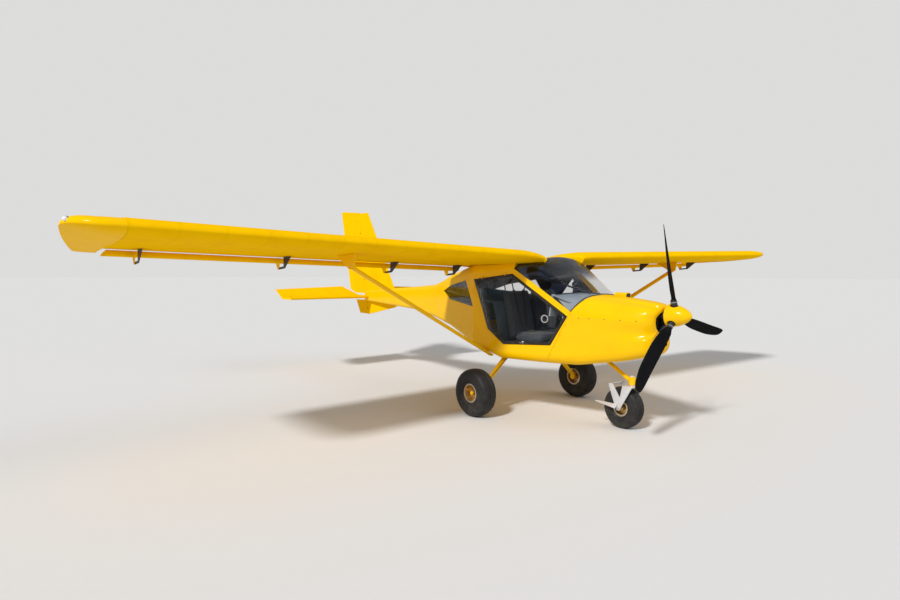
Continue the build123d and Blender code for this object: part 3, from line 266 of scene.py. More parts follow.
def ranged(tree, value, low, high, first=0.0, last=1.0, **values):
    """A value carried from one range to another."""
    return node(tree, "MapRange", {0: value, 1: low, 2: high, 3: first, 4: last}, **values)[0]


def noise(tree, place, scale, detail, roughness=.5):
    links = {"Vector": place, "Scale": scale, "Detail": detail, "Roughness": roughness}
    return node(tree, "TexNoise", links)[0]


def bump(tree, height, depth, **normal):
    return node(tree, "Bump", {"Height": height, "Distance": depth, "Strength": 1.0, **normal})[0]


def object_place(tree):
    return node(tree, "TexCoord")["Object"]


def coordinate(tree, number):
    """One coordinate of the place on the object."""
    return node(tree, "SeparateXYZ", {0: object_place(tree)})[number]


def make_worn_surface():
    """Colour, roughness and relief that vary over any surface."""
    tree, enter, leave = group_tree("Worn surface", {
        "Colour": (.5, .5, .5, 1), "Stain": (.2, .2, .2, 1), "Stain amount": .2, "Stain scale": 6.0,
        "Roughness": .4, "Roughness spread": .1, "Grain scale": 200.0, "Grain depth": .0004,
        "Stretch": (1, 1, 1),
    }, {"Colour": "Color", "Roughness": "Float", "Normal": "Vector"})
    place = object_place(tree)
    stretched = node(tree, "VectorMath", {0: place, 1: enter["Stretch"]}, operation="MULTIPLY")[0]
    patches = noise(tree, place, enter["Stain scale"], 7, .62)
    grain = noise(tree, stretched, enter["Grain scale"], 3)
    mask = maths(tree, "MULTIPLY", ranged(tree, patches, .46, .74), enter["Stain amount"])
    uneven = maths(tree, "SUBTRACT", maths(tree, "ADD", patches, grain), 1.0)
    spread = maths(tree, "MULTIPLY", uneven, enter["Roughness spread"])
    wire(tree, leave, {
        "Colour": mixed(tree, mask, enter["Colour"], enter["Stain"]),
        "Roughness": maths(tree, "ADD", enter["Roughness"], spread, clamp=True),
        "Normal": bump(tree, grain, enter["Grain depth"]),
    })


def make_road_dust():
    """Pale dust that thins with height above the ground."""
    tree, enter, leave = group_tree("Road dust", {
        "Colour": (.5, .5, .5, 1), "Dust": (.34, .30, .24, 1), "Amount": .4, "Reach": .5,
    }, {"Colour": "Color"})
    low = ranged(tree, maths(tree, "DIVIDE", coordinate(tree, 2), enter["Reach"]), 0.0, 1.0, 1.0, 0.0)
    patches = ranged(tree, noise(tree, object_place(tree), 14.0, 8, .7), .38, .66)
    mask = maths(tree, "MULTIPLY", maths(tree, "MULTIPLY", patches, low), enter["Amount"])
    wire(tree, leave, {"Colour": mixed(tree, mask, enter["Colour"], enter["Dust"])})


def make_cloth_weave():
    """Crossing threads in three directions, for cloth."""
    tree, enter, leave = group_tree("Cloth weave", {
        "Colour": (.1, .1, .1, 1), "Thread": (.2, .2, .2, 1), "Threads": 160.0, "Depth": .0006,
    }, {"Colour": "Color", "Normal": "Vector"})
    place = object_place(tree)
    links = {"Vector": place, "Scale": enter["Threads"], "Distortion": 1.2, "Detail": 1}
    x, y, z = (node(tree, "TexWave", links, wave_type="BANDS", bands_direction=way)[1] for way in "XYZ")
    height = maths(tree, "MULTIPLY", maths(tree, "ADD", maths(tree, "ADD", x, y), z), 1 / 3)
    mask = maths(tree, "MULTIPLY", height, noise(tree, place, 9.0, 5))
    wire(tree, leave, {
        "Colour": mixed(tree, mask, enter["Colour"], enter["Thread"]),
        "Normal": bump(tree, height, enter["Depth"]),
    })


def make_rib_tapes():
    """Slightly raised tape lines over the ribs of a fabric surface."""
    tree, enter, leave = group_tree("Rib tapes", {
        "Colour": (.8, .5, 0, 1), "Tape": (.7, .4, 0, 1), "Pitch": RIB_PITCH, "Width": .03,
    }, {"Colour": "Color", "Height": "Float"})
    offset = maths(tree, "SUBTRACT", maths(tree, "ABSOLUTE", coordinate(tree, 1)), WING_FULL_Y)
    nearest = maths(tree, "PINGPONG", offset, maths(tree, "MULTIPLY", enter["Pitch"], .5))
    half = maths(tree, "MULTIPLY", enter["Width"], .5)
    edge = ranged(tree, nearest, half, maths(tree, "SUBTRACT", half, .003))
    mask = maths(tree, "MULTIPLY", edge, .35)
    wire(tree, leave, {"Colour": mixed(tree, mask, enter["Colour"], enter["Tape"]), "Height": edge})


def grouped(tree, name, links):
    """A node group placed in a material, with its own values."""
    return node(tree, "Group", links, node_tree=bpy.data.node_groups[name])


def rgba(colour, gain=1.0):
    return (*[min(1.0, c * gain) for c in colour[:3]], 1.0)


FINISHES = {}
SLOTS = {}


def shader_of(name, slot):
    """A new finish for a slot of the record, its node tree and its Principled shader's inputs."""
    material = bpy.data.materials.new(name)
    material.use_nodes = True
    FINISHES[name], SLOTS[name] = material, slot
    return material.node_tree, material.node_tree.nodes["Principled BSDF"].inputs


def make_finish(name, slot, colour, stain, amount, roughness, spread=.08, stain_scale=5.0,
                grain=(220.0, .0003), stretch=(1, 1, 1), dust=0.0, tapes=False, **shader):
    """A material: worn colour, roughness and relief into one Principled shader."""
    tree, inputs = shader_of(name, slot)
    colour = rgba(colour)
    if tapes:
        taped = grouped(tree, "Rib tapes", {"Colour": colour, "Tape": rgba(colour, .90)})
        colour = taped["Colour"]
    worn = grouped(tree, "Worn surface", {
        "Colour": colour, "Stain": rgba(stain), "Stain amount": amount, "Stain scale": stain_scale,
        "Roughness": roughness, "Roughness spread": spread, "Grain scale": grain[0], "Grain depth": grain[1],
        "Stretch": stretch,
    })
    shown, normal = worn["Colour"], worn["Normal"]
    if dust:
        shown = grouped(tree, "Road dust", {"Colour": shown, "Amount": dust})["Colour"]
    if tapes:
        normal = bump(tree, taped["Height"], .0006, Normal=normal)
    wire(tree, inputs, {"Base Color": shown, "Roughness": worn["Roughness"], "Normal": normal})
    for key, value in shader.items():
        inputs[key.replace("_", " ").title().replace("Ior", "IOR")].default_value = value
    return tree, inputs


def make_finishes():
    """All finishes of the aircraft."""
    for make_group in (make_worn_surface, make_road_dust, make_cloth_weave, make_rib_tapes):
        make_group()
    paint = colours().paint
    shade = (paint[0] * .88, paint[1] * .78, paint[2] * .8)
    gloss = dict(coat_weight=.35, coat_roughness=.17, specular_ior_level=0)
    satin = dict(coat_roughness=.25, specular_ior_level=0)
    smooth = dict(spread=.06, grain=(60.0, .00015))
    anodised = dict(spread=.14, stain_scale=16.0, dust=.3)
    brushed = dict(spread=.14, stain_scale=12.0, stretch=(1, 1, 14))
    moulded = dict(spread=.12, stain_scale=8.0)
    make_finish("gloss_paint", "yellow_shell", paint, shade, .30, .27, dust=.06, **smooth, **gloss)
    make_finish("fabric_paint", "yellow_fabric", paint, shade, .45, .46, grain=(420.0, .0003), tapes=True,
                coat_weight=.02, **satin)
    make_finish("tip_paint", "yellow_shell", paint, shade, .35, .34, coat_weight=.12, coat_roughness=.15,
                specular_ior_level=0, **smooth)
    make_finish("metal_paint", "yellow_metal", paint, shade, .40, .32, grain=(140.0, .0002), dust=.22,
                **gloss)
    make_finish("blade_black", "black_blade", colours().blade, (.020, .020, .021), .35, .34,
                grain=(300.0, .0002), coat_weight=.07, **satin)
    make_finish("frame_black", "black_frame", (.018, .018, .02), (.06, .055, .05), .4, .42, dust=.1)
    make_finish("rubber", "tyre", (.014, .014, .015), (.032, .031, .030), .5, .52, .14, 9.0,
                (260.0, .0009), dust=.12, specular_ior_level=.22)
    make_finish("rubber_boot", "black_blade", (.012, .012, .013), (.035, .034, .032), .5, .62,
                grain=(200.0, .0005))
    make_finish("gold_metal", "gold_rim", colours().rim, (.22, .15, .07), .5, .34, metallic=.85, **anodised)
    make_finish("pale_rim", "gold_rim", (.70, .60, .44), (.38, .30, .20), .5, .30, metallic=.9, **anodised)
    make_finish("sheet_metal", "bare_metal", (.74, .75, .77), (.52, .52, .53), .35, .34,
                grain=(90.0, .0002), dust=.05, metallic=.75, **brushed)
    make_finish("fork_alloy", "bare_metal", (.70, .71, .73), (.50, .50, .50), .4, .42, grain=(90.0, .0003),
                dust=.08, metallic=.35, specular_ior_level=.4, **brushed)
    make_finish("machined_steel", "steel", (.46, .46, .48), (.24, .23, .22), .4, .30, .12, 20.0,
                (160.0, .0001), (12, 1, 1), metallic=1.0)
    make_finish("chrome_ring", "steel", (.80, .80, .81), (.5, .5, .5), .15, .12, .05, 20.0, metallic=1.0)
    make_finish("cast_engine", "engine_metal", (.09, .09, .095), (.16, .14, .11), .6, .55, .2, 18.0,
                (260.0, .0012), metallic=.5)
    make_finish("grey_plastic", "grey_trim", (.115, .125, .135), (.05, .05, .055), .35, .58,
                grain=(520.0, .0006), **moulded)
    # Also the painted shade inside the air intake and behind the cowl's front openings
    make_finish("dark_plastic", "grey_trim", (.022, .023, .026), (.06, .06, .062), .3, .50,
                grain=(480.0, .0005), **moulded)
    make_finish("light_plastic", "grey_trim", (.34, .39, .42), (.20, .22, .25), .3, .55, .1, 8.0,
                (520.0, .0005))
    make_finish("white_paint", "white_whip", (.66, .66, .64), (.52, .50, .44), .3, .35, coat_weight=.3)
    make_finish("dial_white", "grey_trim", (.80, .80, .76), (.6, .6, .56), .1, .5)
    # Also the painted shade in the scoop's mouth
    make_finish("dark_glass", "grey_trim", (.006, .008, .011), (.02, .02, .022), .2, .08, .03, 10.0,
                (40.0, .00002))
    make_finish("clear_lens", "clear_pane", (.86, .88, .90), (.8, .8, .8), .1, .10, coat_weight=.5)
    make_finish("belt_webbing", "seat_cloth", (.018, .019, .022), (.06, .06, .062), .3, .75, .1, 30.0,
                (900.0, .0008), sheen_weight=.25)
    make_finish("blue_cloth", "grey_trim", (.055, .083, .105), (.035, .05, .065), .35, .8, .1, 8.0,
                (620.0, .0008), specular_ior_level=0)
    make_seat_cloth()
    make_pane("tinted_pane", (.42, .47, .52), .085)
    # The windscreen's dark blue, denser towards its top, is partly tint and partly painted reflection of the
    # sky
    make_pane("screen_pane", (.022, .040, .125), .10, 1.44, 1.60, .82)
    make_pane("smoked_pane", (.05, .06, .07), .42)
    make_pane("rear_pane", (.20, .21, .20), .12)


def make_pane(name, colour, alpha, low=0, high=0, top_alpha=0):
    """Clear polycarbonate with faint wiping marks. Where heights are given, its colour grows denser above
    them, partly tint and partly painted reflection of the sky.
    """
    tree, inputs = make_finish(name, "clear_pane", colour, colour, 0, .06, .05, 3.0, (3.0, .00001),
                               alpha=alpha,
                               transmission_weight=1.0, ior=1.45, specular_ior_level=.5)
    FINISHES[name].use_backface_culling = False
    if high:
        tint_and_painted_reflection = ranged(tree, coordinate(tree, 2), low, high, alpha, top_alpha, interpolation_type="SMOOTHSTEP")
        wire(tree, inputs, {"Alpha": tint_and_painted_reflection})


def make_seat_cloth():
    """Woven cloth of the seats."""
    tree, inputs = shader_of("seat_weave", "seat_cloth")
    cloth = colours().cloth
    woven = grouped(tree, "Cloth weave", {"Colour": rgba(cloth, .7), "Thread": rgba(cloth, 1.5)})
    worn = grouped(tree, "Worn surface", {
        "Colour": woven["Colour"], "Stain": rgba(cloth, 1.8), "Stain amount": .25, "Stain scale": 7.0,
        "Roughness": .86, "Roughness spread": .08, "Grain scale": 60.0, "Grain depth": .0006,
    })
    wire(tree, inputs, {
        "Base Color": worn["Colour"], "Roughness": worn["Roughness"], "Normal": woven["Normal"],
        "Sheen Weight": .35, "Sheen Roughness": .4,
    })


# Modelling helpers

def x_of(station):
    return NOSE_X - station


def start():
    """Object mode with nothing selected."""
    if bpy.context.mode != "OBJECT":
        bpy.ops.object.mode_set(mode="OBJECT")
    bpy.ops.object.select_all(action="DESELECT")


def only(piece):
    """The piece alone, selected and active."""
    start()
    piece.select_set(True)
    bpy.context.view_layer.objects.active = piece
    return piece


@contextmanager
def editing(piece):
    """Edit mode with the whole piece selected."""
    only(piece)
    bpy.ops.object.mode_set(mode="EDIT")
    bpy.ops.mesh.select_all(action="SELECT")
    yield
    bpy.ops.object.mode_set(mode="OBJECT")


def faced_out():
    """The normals of the edited piece made to point outwards."""
    bpy.ops.mesh.select_all(action="SELECT")
    bpy.ops.mesh.normals_make_consistent(inside=False)


def added(name):
    """The piece that an operator has just added, with its name."""
    bpy.context.object.name = name
    return bpy.context.object


def through(knots, values, places):
    """Values of a smooth curve through the knots that never overshoots them, at some places."""
    knots, places = np.asarray(knots, float), np.asarray(places, float)
    values = np.asarray(values, float).reshape(len(knots), -1)
    step = np.diff(knots)[:, None]
    slope = np.diff(values, axis=0) / step
    tangent = np.zeros_like(values)
    before, after = slope[:-1], slope[1:]
    same = before * after > 0
    tangent[1:-1] = np.where(same, 2 * before * after / np.where(same, before + after, 1), 0)
    tangent[0], tangent[-1] = slope[0], slope[-1]
    places = np.clip(places, knots[0], knots[-1])
    i = np.clip(np.searchsorted(knots, places, side="right") - 1, 0, len(knots) - 2)
    h, t = step[i], ((places - knots[i]) / step[i, 0])[:, None]
    return ((1 + 2 * t) * (1 - t) ** 2 * values[i] + t * (1 - t) ** 2 * h * tangent[i]
            + t * t * (3 - 2 * t) * values[i + 1] + t * t * (t - 1) * h * tangent[i + 1])


def table_at(table, places):
    """Smooth values of a table's columns at some places of its first column."""
    return through([row[0] for row in table], [row[1:] for row in table], places)


def laid_skin(name, rows, joined=False, closed_ends=False):
    """A grid laid on rows of points. Joined, each row closes on itself."""
    start()
    rows = np.asarray(rows, float)
    bpy.ops.mesh.primitive_grid_add(x_subdivisions=rows.shape[1] - 1, y_subdivisions=rows.shape[0] - 1)
    piece = added(name)
    piece.data.vertices.foreach_set("co", rows.ravel())
    with editing(piece):
        if joined:
            bpy.ops.mesh.remove_doubles(threshold=1e-5)
        if closed_ends:
            bpy.ops.mesh.fill_holes(sides=0)
        faced_out()
    return piece


def modified(piece, kind, **values):
    """The piece with one modifier applied."""
    only(piece)
    modifier = piece.modifiers.new(kind.title(), kind)
    for key, value in values.items():
        setattr(modifier, key, value)
    bpy.ops.object.modifier_apply(modifier=modifier.name)
    return piece


def walled(piece, thickness, offset=-1):
    """A skin given a wall, inwards unless the offset says otherwise."""
    return modified(piece, "SOLIDIFY", thickness=thickness, offset=offset)


def bevelled(piece, width, segments=2, limit=32, **values):
    """The piece with its edges rounded where they turn by more than a limit in degrees."""
    return modified(piece, "BEVEL", width=width, segments=segments, limit_method="ANGLE",
                    angle_limit=radians(limit), **values)


def settle(piece, finish, body="airframe", stands_for="", angle=38, flat_faces=False):
    """Its place into its mesh, its shading and finish, and the body that it rides on."""
    only(piece)
    bpy.ops.object.transform_apply(location=True, rotation=True, scale=True)
    bpy.ops.object.shade_smooth_by_angle(angle=radians(angle))
    if flat_faces:
        modified(piece, "WEIGHTED_NORMAL", keep_sharp=True, weight=100)
    piece.data.materials.clear()
    piece.data.materials.append(FINISHES[finish])
    ride_for(piece, body, stands_for)


def ride_for(piece, body, stands_for):
    """The piece riding on a body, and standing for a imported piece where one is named."""
    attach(piece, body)
    if stands_for:
        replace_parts(piece, stands_for)


def settle_both(piece, finish, body="airframe", stands_for="", angle=38):
    """Settles a port piece and its starboard twin, which has its own mesh."""
    settle(piece, finish, body, stands_for, angle)
    twin = piece.copy()
    twin.data = piece.data.copy()
    twin.name = piece.name.replace("left", "right")
    bpy.context.scene.collection.objects.link(twin)
    twin.parent = None
    twin.matrix_world = Matrix.Identity(4)
    twin.data.transform(Matrix.Scale(-1, 4, (0, 1, 0)))
    twin.data.flip_normals()
    if "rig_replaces" in twin:
        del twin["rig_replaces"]
    ride_for(twin, body.replace("left", "right"), stands_for.replace("left", "right"))


def merged_copy(node_name, name):
    """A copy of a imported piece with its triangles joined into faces."""
    piece = bpy.data.objects.new(name, frame["nodes"][node_name].data.copy())
    bpy.context.scene.collection.objects.link(piece)
    with editing(piece):
        bpy.ops.mesh.remove_doubles(threshold=2e-5)
        bpy.ops.mesh.dissolve_limited(angle_limit=radians(0.6))
    return piece


def softened(node_name, finish, width=0, angle=38, limit=32, segments=2):
    """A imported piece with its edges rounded, standing for itself."""
    piece = merged_copy(node_name, node_name + "_shown")
    if width:
        bevelled(piece, width, segments, limit, use_clamp_overlap=True, miter_outer="MITER_ARC")
    settle(piece, finish, frame["nodes"][node_name]["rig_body"], node_name, angle, bool(width))


def spun(name, profile, centre, axis, steps=96):
    """A closed profile of places along an axis and radii, spun round it."""
    start()
    axis, centre = Vector(axis).normalized(), Vector(centre)
    side = axis.orthogonal().normalized()
    bpy.ops.mesh.primitive_circle_add(vertices=len(profile), radius=1)
    piece = added(name)
    for vertex, (along, radius) in zip(piece.data.vertices, profile):
        vertex.co = centre + axis * along + side * radius
    with editing(piece):
        bpy.ops.mesh.spin(steps=steps, angle=2 * pi, center=centre, axis=axis)
        bpy.ops.mesh.select_all(action="SELECT")
        bpy.ops.mesh.remove_doubles(threshold=1e-5)
        faced_out()
    return piece


def rod(name, points, radius, sides=14, ring=False):
    """A round bar through some points. A ring closes on itself."""
    points = [Vector(p) for p in points]
    if ring:
        points.append(points[0])
    rows, normal = [], None
    for i, point in enumerate(points):
        before = points[i - 1] if i else (points[-2] if ring else point)
        after = points[i + 1] if i + 1 < len(points) else (points[1] if ring else point)
        along = (after - before).normalized()
        normal = along.orthogonal() if normal is None else normal - along * normal.dot(along)
        normal.normalize()
        across = along.cross(normal)
        turns = [2 * pi * k / sides for k in range(sides + 1)]
        rows.append([point + (normal * cos(turn) + across * sin(turn)) * radius for turn in turns])
    return laid_skin(name, rows, joined=True, closed_ends=not ring)


def plate(name, corners, push, width=.001, segments=2):
    """A flat panel: its corners, how far it is extruded, and its rounded edges."""
    start()
    bpy.ops.mesh.primitive_circle_add(vertices=len(corners), fill_type="NGON")
    piece = added(name)
    for vertex, corner in zip(piece.data.vertices, corners):
        vertex.co = corner
    with editing(piece):
        bpy.ops.mesh.extrude_region_move(TRANSFORM_OT_translate={"value": tuple(push)})
        faced_out()
    return bevelled(piece, width, segments, 30)


def block(name, low, high, width=.004, segments=3):
    """A box between two corners with rounded edges."""
    (x0, y0, z0), (x1, y1, z1) = low, high
    corners = [(x0, y0, z0), (x1, y0, z0), (x1, y1, z0), (x0, y1, z0)]
    return plate(name, corners, (0, 0, z1 - z0), width, segments)


def joined_up(name, pieces):
    """Several pieces as one mesh."""
    only(pieces[0])
    for piece in pieces[1:]:
        piece.select_set(True)
    bpy.ops.object.join()
    pieces[0].name = name
    return pieces[0]


def cut(piece, *tools):
    """The piece less each tool, which is used up."""
    for tool in tools:
        modified(piece, "BOOLEAN", operation="DIFFERENCE", solver="EXACT", object=tool)
        bpy.data.objects.remove(tool)
    return piece


def bolt(name, point, normal, radius=.004, height=.0025):
    """A domed screw head on a surface."""
    profile = [(-.001, 0), (-.001, radius), (height * .3, radius), (height * .75, radius * .8),
               (height, radius * .4), (height, 0)]
    return spun(name, profile, point, normal, 12)


# Shapes of the aircraft

def wing_place(chord, up, y):
    """A point of the port wing, given along its chord, above it and along its span."""
    station, height = WING_NOSE
    station += -y * WING_SWEEP + chord * cos(WING_TILT) + up * sin(WING_TILT)
    return x_of(station), y, height + y * WING_RISE - chord * sin(WING_TILT) + up * cos(WING_TILT)


def side_half(station):
    """Half width of the cabin's flat sides."""
    return CABIN_WIDEST[1] - CABIN_TAPER * (CABIN_WIDEST[0] - station)


def seam_station(height):
    """Station of the seam behind the cowl at a height."""
    (top_s, top_z), (bend_s, bend_z), (foot_s, foot_z) = SEAM
    upper = bend_s + (height - bend_z) * (top_s - bend_s) / (top_z - bend_z)
    lower = bend_s + (bend_z - height) * (foot_s - bend_s) / (bend_z - foot_z)
    return np.where(height > bend_z, upper, lower)


def around_section(points, per_span=3):
    """A smooth curve through the points of a section."""
    count = len(points)
    return through(np.arange(count), points, np.linspace(0, count - 1, (count - 1) * per_span + 1))


def cowl_sections(stations):
    """Places and heights round the whole cowl at some stations, from its bottom round by starboard."""
    knots = [row[0] for row in COWL]
    halves = through(knots, [np.ravel(row[1]) for row in COWL], stations).reshape(len(stations), -1, 2)
    starboard = halves[:, ::-1] * (-1, 1)
    loop = np.concatenate([starboard, halves[:, 1:]], axis=1)
    return np.array([around_section(row, 7) for row in loop])


def cowl_rows():
    """Rows of the cowl's skin from the seam forward, round the nose and into the air intake."""
    stations = np.linspace(COWL_FRONT, 1.40, 221)
    loops = cowl_sections(stations)
    depth = np.clip(1 - (stations - COWL_FRONT) / NOSE_ROUNDING, 0, 1)
    middle = np.array([0, COWL_MIDDLE])
    away = loops - middle
    far = np.linalg.norm(away, axis=2, keepdims=True)
    # The nose is rounder at its sides than above and below
    inset = (.034 + .008 * np.abs(away[:, :, :1]) / far) * (1 - np.sqrt(1 - depth ** 2))[:, None, None]
    loops = middle + away * (1 - inset / far)
    count = loops.shape[1]
    share = np.concatenate([np.linspace(0, .12, 13), np.linspace(.12, 1, 40)[1:]])
    rows = np.empty((len(share), count, 3))
    for j in range(count):
        y, z = loops[:, j, 0], loops[:, j, 1]
        beyond = stations - (seam_station(z) - SEAM_GAP)
        last = int(np.argmax(beyond > 0))
        a, b = beyond[last - 1], beyond[last]
        end = stations[last - 1] + (stations[last] - stations[last - 1]) * (-a) / (b - a)
        at = COWL_FRONT + share * (end - COWL_FRONT)
        rows[:, j] = np.column_stack([NOSE_X - at, np.interp(at, stations, y), np.interp(at, stations, z)])
    # From the rim of the nose in to the round intake, and back into its duct
    rim = rows[0]
    height, wide, tall = INTAKE
    angle = np.arctan2(rim[:, 1], rim[:, 2] - height)

    def oval(back, shrink=1.0):
        return np.column_stack([rim[:, 0] + back, wide * shrink * np.sin(angle),
                                height + tall * shrink * np.cos(angle)])

    front = [rim * (1 - step) + oval(.004 * (1 - step)) * step for step in (1, .8, .6, .4, .2)]
    duct = [oval(-depth, shrink) for depth, shrink in ((.07, .90), (.03, .95), (.008, .985))]
    skin = np.concatenate([duct[2:], front, rows])
    # The upper lip reaches forward
    above = np.clip((skin[:, :, 2] - 1.12) / .10, 0, 1)
    ahead = np.clip((.62 - (NOSE_X - skin[:, :, 0])) / .32, 0, 1)
    skin[:, :, 0] += LIP_REACH * above * ahead
    return skin, np.array(duct)


def cowl_half(station, height):
    """Half width of the cowl at a station and a height."""
    loop = cowl_sections([station])[0]
    half = loop[:len(loop) // 2 + 1]
    return float(np.interp(height, half[:, 1], -half[:, 0]))


class AIRCRAFT_OT_cowl(bpy.types.Operator):
    """Upper and lower cowl, scoop, firewall and screws"""
    bl_idname = "aircraft.cowl"
    bl_label = "Cowl"

    def execute(self, context):
        rows, duct = cowl_rows()
        # The intake's inner duct is near-black as painted shade for the shade deep inside the intake
        settle(walled(laid_skin("intake_duct", duct, joined=True), .002, 1), "dark_plastic")
        for name, keep_upper in (("upper_cowl", True), ("lower_cowl", False)):
            skin = laid_skin(name + "_skin", rows, joined=True)
            gap = .0002 if keep_upper else -.0002
            with editing(skin):
                bpy.ops.mesh.bisect(plane_co=(0, 0, SPLIT_Z + gap), plane_no=(0, 0, 1),
                                    clear_inner=keep_upper, clear_outer=not keep_upper)
            walled(skin, .0035)
            if not keep_upper:
                self.cut_openings(skin)
            settle(skin, "gloss_paint", "airframe", name, 45)
        # Dark baffle behind the front openings; its dark colour is painted shade for the inside of the cowl
        # seen through them
        baffle = block("engine_baffle", (x_of(.41), -.15, .83), (x_of(.380), .15, 1.165), .02)
        shaft = spun("shaft_hole", [(-.1, 0), (-.1, .075), (.1, .075), (.1, 0)],
                     (x_of(.39), 0, PROP_AXIS_Z), (1, 0, 0), 40)
        settle(cut(baffle, shaft), "dark_plastic")
        screws = []
        row = SPLIT_Z + .010
        for side in (-1, 1):
            for station in (.420, .562, .720, .877, .985):
                spot = (x_of(station), side * cowl_half(station, row), row)
                screws.append(bolt("screw", spot, (.14, side, .06), .0055))
            for height in (1.12, 1.01, .90, .79, .70):
                station = float(seam_station(height)) - .018
                spot = (x_of(station), side * cowl_half(station, height), height)
                screws.append(bolt("screw", spot, (.2, side, 0)))
        settle(joined_up("cowl_screws", screws), "dark_plastic")
        softened("cowl_scoop", "gloss_paint", .006, segments=4)
        # A dark plate fills the scoop's mouth as painted shade for the inside of the scoop
        mouth = block("scoop_mouth", (x_of(.740), .063, 1.300), (x_of(.7290), .127, 1.331), .004)
        settle(mouth, "dark_glass")
        softened("firewall", "sheet_metal")
        softened("engine", "cast_engine", .006)
        softened("engine_mount", "frame_black")
        return {"FINISHED"}

    def cut_openings(self, skin):
        """The lower mouth, the nose leg's hole and a cooling slot in each side."""
        mouth = block("mouth", (x_of(.40), -.105, .845), (x_of(.25), .105, .919), .018, 4)
        hole = block("leg_hole", (x_of(.920), -.034, .55), (x_of(.800), .034, .75), .02, 4)
        slots = [block("slot", (x_of(.880), y - .06, .733), (x_of(.714), y + .06, .751), .006)
                 for y in (-.40, .40)]
        cut(skin, mouth, hole, *slots)


def screen_sections(stations):
    """Places and heights across the screen at some stations, from foot to foot."""
    sections = []
    for station, (shoulder, shoulder_z, crown) in zip(stations, table_at(SCREEN, stations)):
        foot_y, foot_z = screen_foot(station)
        bend = (foot_y - (foot_y - shoulder) * .34, foot_z + (shoulder_z - foot_z) * .66)
        upper = (shoulder * .55, shoulder_z + (crown - shoulder_z) * .72)
        points = [(foot_y, foot_z), bend, (shoulder, shoulder_z), upper]
        loop = points + [(0, crown)] + [(-y, z) for y, z in reversed(points)]
        sections.append(around_section(loop, 8))
    return np.array(sections)


def screen_foot(station):
    """Half width and height of the screen's foot at a station."""
    (s0, z0), (s1, z1) = PILLAR
    corner, half, height = SCREEN_CORNER
    bend = SEAM[1][0]
    if station < bend:
        share = (station - corner) / (bend - corner)
        return half + (side_half(bend) - half) * share, height - (height - SCREEN_BEND_Z) * share
    return side_half(station), z0 + (z1 - z0) * (station - s0) / (s1 - s0) + .0005


class AIRCRAFT_OT_canopy(bpy.types.Operator):
    """Windscreen, clear roof, cabin frame, rear windows and antenna"""
    bl_idname = "aircraft.canopy"
    bl_label = "Canopy"

    def execute(self, context):
        stations = np.linspace(SCREEN[0][0], SCREEN[-1][0], 155)
        sections = screen_sections(stations)
        count = sections.shape[1]
        share = np.linspace(0, 1, 46)
        rows = np.empty((len(share), count, 3))
        for j in range(count):
            y, z = sections[:, j, 0], sections[:, j, 1]
            beyond = stations - (seam_station(z) + .0015)
            first = int(np.argmax(beyond > 0))
            at = stations[first] + share * (stations[-1] - stations[first])
            rows[:, j] = np.column_stack([x_of(at), np.interp(at, stations, y), np.interp(at, stations, z)])
        screen = walled(laid_skin("windscreen_pane", rows), .004)
        settle(screen, "screen_pane", "airframe", "windscreen")
        # Black seal along the screen's front edge
        edge = [Vector(p) for p in rows[0]]
        settle(rod("screen_seal", [p + Vector((.002, 0, .002)) for p in edge], .005, 8), "frame_black")
        # Padded cover from the screen's foot to the top of the instrument panel
        cover = []
        for share in np.linspace(0, 1, 9):
            line = []
            for point in edge:
                foot = Vector((point.x - .012, point.y * .975, point.z - .012))
                top = Vector((x_of(1.298), point.y * .96, 1.319 - .012 * (point.y / .37) ** 2))
                line.append(foot.lerp(top, share))
            cover.append(line)
        settle(walled(laid_skin("panel_cover", cover), .003), "light_plastic")
        roof_at = np.linspace(ROOF[0][0], ROOF[-1][0], 24)
        rows = []
        for station, (side, middle) in zip(roof_at, table_at(ROOF, roof_at)):
            across = np.linspace(-1, 1, 25)
            rows.append([(x_of(station), ROOF_HALF * a, middle - (middle - side) * a * a) for a in across])
        settle(walled(laid_skin("roof_pane", rows), .004), "smoked_pane", "airframe", "roof_glass")
        softened("cabin_frame", "frame_black", .001)
        softened("rear_window_left", "rear_pane", .0008)
        softened("rear_window_right", "rear_pane", .0008)
        softened("antenna", "white_paint")
        return {"FINISHED"}


class AIRCRAFT_OT_fuselage(bpy.types.Operator):
    """Cabin shell, rear fuselage and the struts that carry the wings"""
    bl_idname = "aircraft.fuselage"
    bl_label = "Fuselage"

    def execute(self, context):
        softened("cabin_shell", "gloss_paint", .005, 28, 11, 3)
        softened("rear_fuselage", "gloss_paint", .006, 28, 11, 3)
        softened("rear_bulkhead", "grey_plastic")
        softened("strut_left", "metal_paint", .0015)
        softened("strut_right", "metal_paint", .0015)
        return {"FINISHED"}


def door_opening():
    """Corners of the outer face of the port door's glass, in order, and where that face looks."""
    copy = merged_copy("door_glass_left", "outline")
    face = max((f for f in copy.data.polygons if f.normal.y > .5), key=lambda f: f.area)
    corners, normal = [copy.data.vertices[i].co.copy() for i in face.vertices], face.normal.copy()
    bpy.data.objects.remove(copy)
    return corners, normal


def grown(corners, normal, reach):
    """Corners of an outline moved outward in its own plane."""
    middle = sum(corners, Vector()) / len(corners)
    moved = []
    for i, here in enumerate(corners):
        first = (here - corners[i - 1]).normalized()
        last = (corners[(i + 1) % len(corners)] - here).normalized()
        out, out_next = first.cross(normal), last.cross(normal)
        if out.dot(here - middle) < 0:
            out, out_next = -out, -out_next
        moved.append(here + (out + out_next) * reach / (1 + out.dot(out_next)))
    return moved


def along_outline(corners, pieces=10, rounding=.02):
    """Points round an outline, its corners rounded."""
    points = []
    count = len(corners)
    for i in range(count):
        before, here, after = corners[i - 1], corners[i], corners[(i + 1) % count]
        first = here + (before - here).normalized() * rounding
        last = here + (after - here).normalized() * rounding
        for k in range(5):
            t = k / 4
            points.append(first * (1 - t) ** 2 + here * 2 * t * (1 - t) + last * t ** 2)
        following = after + (here - after).normalized() * rounding
        for k in range(1, pieces):
            points.append(last.lerp(following, k / pieces))
    return points


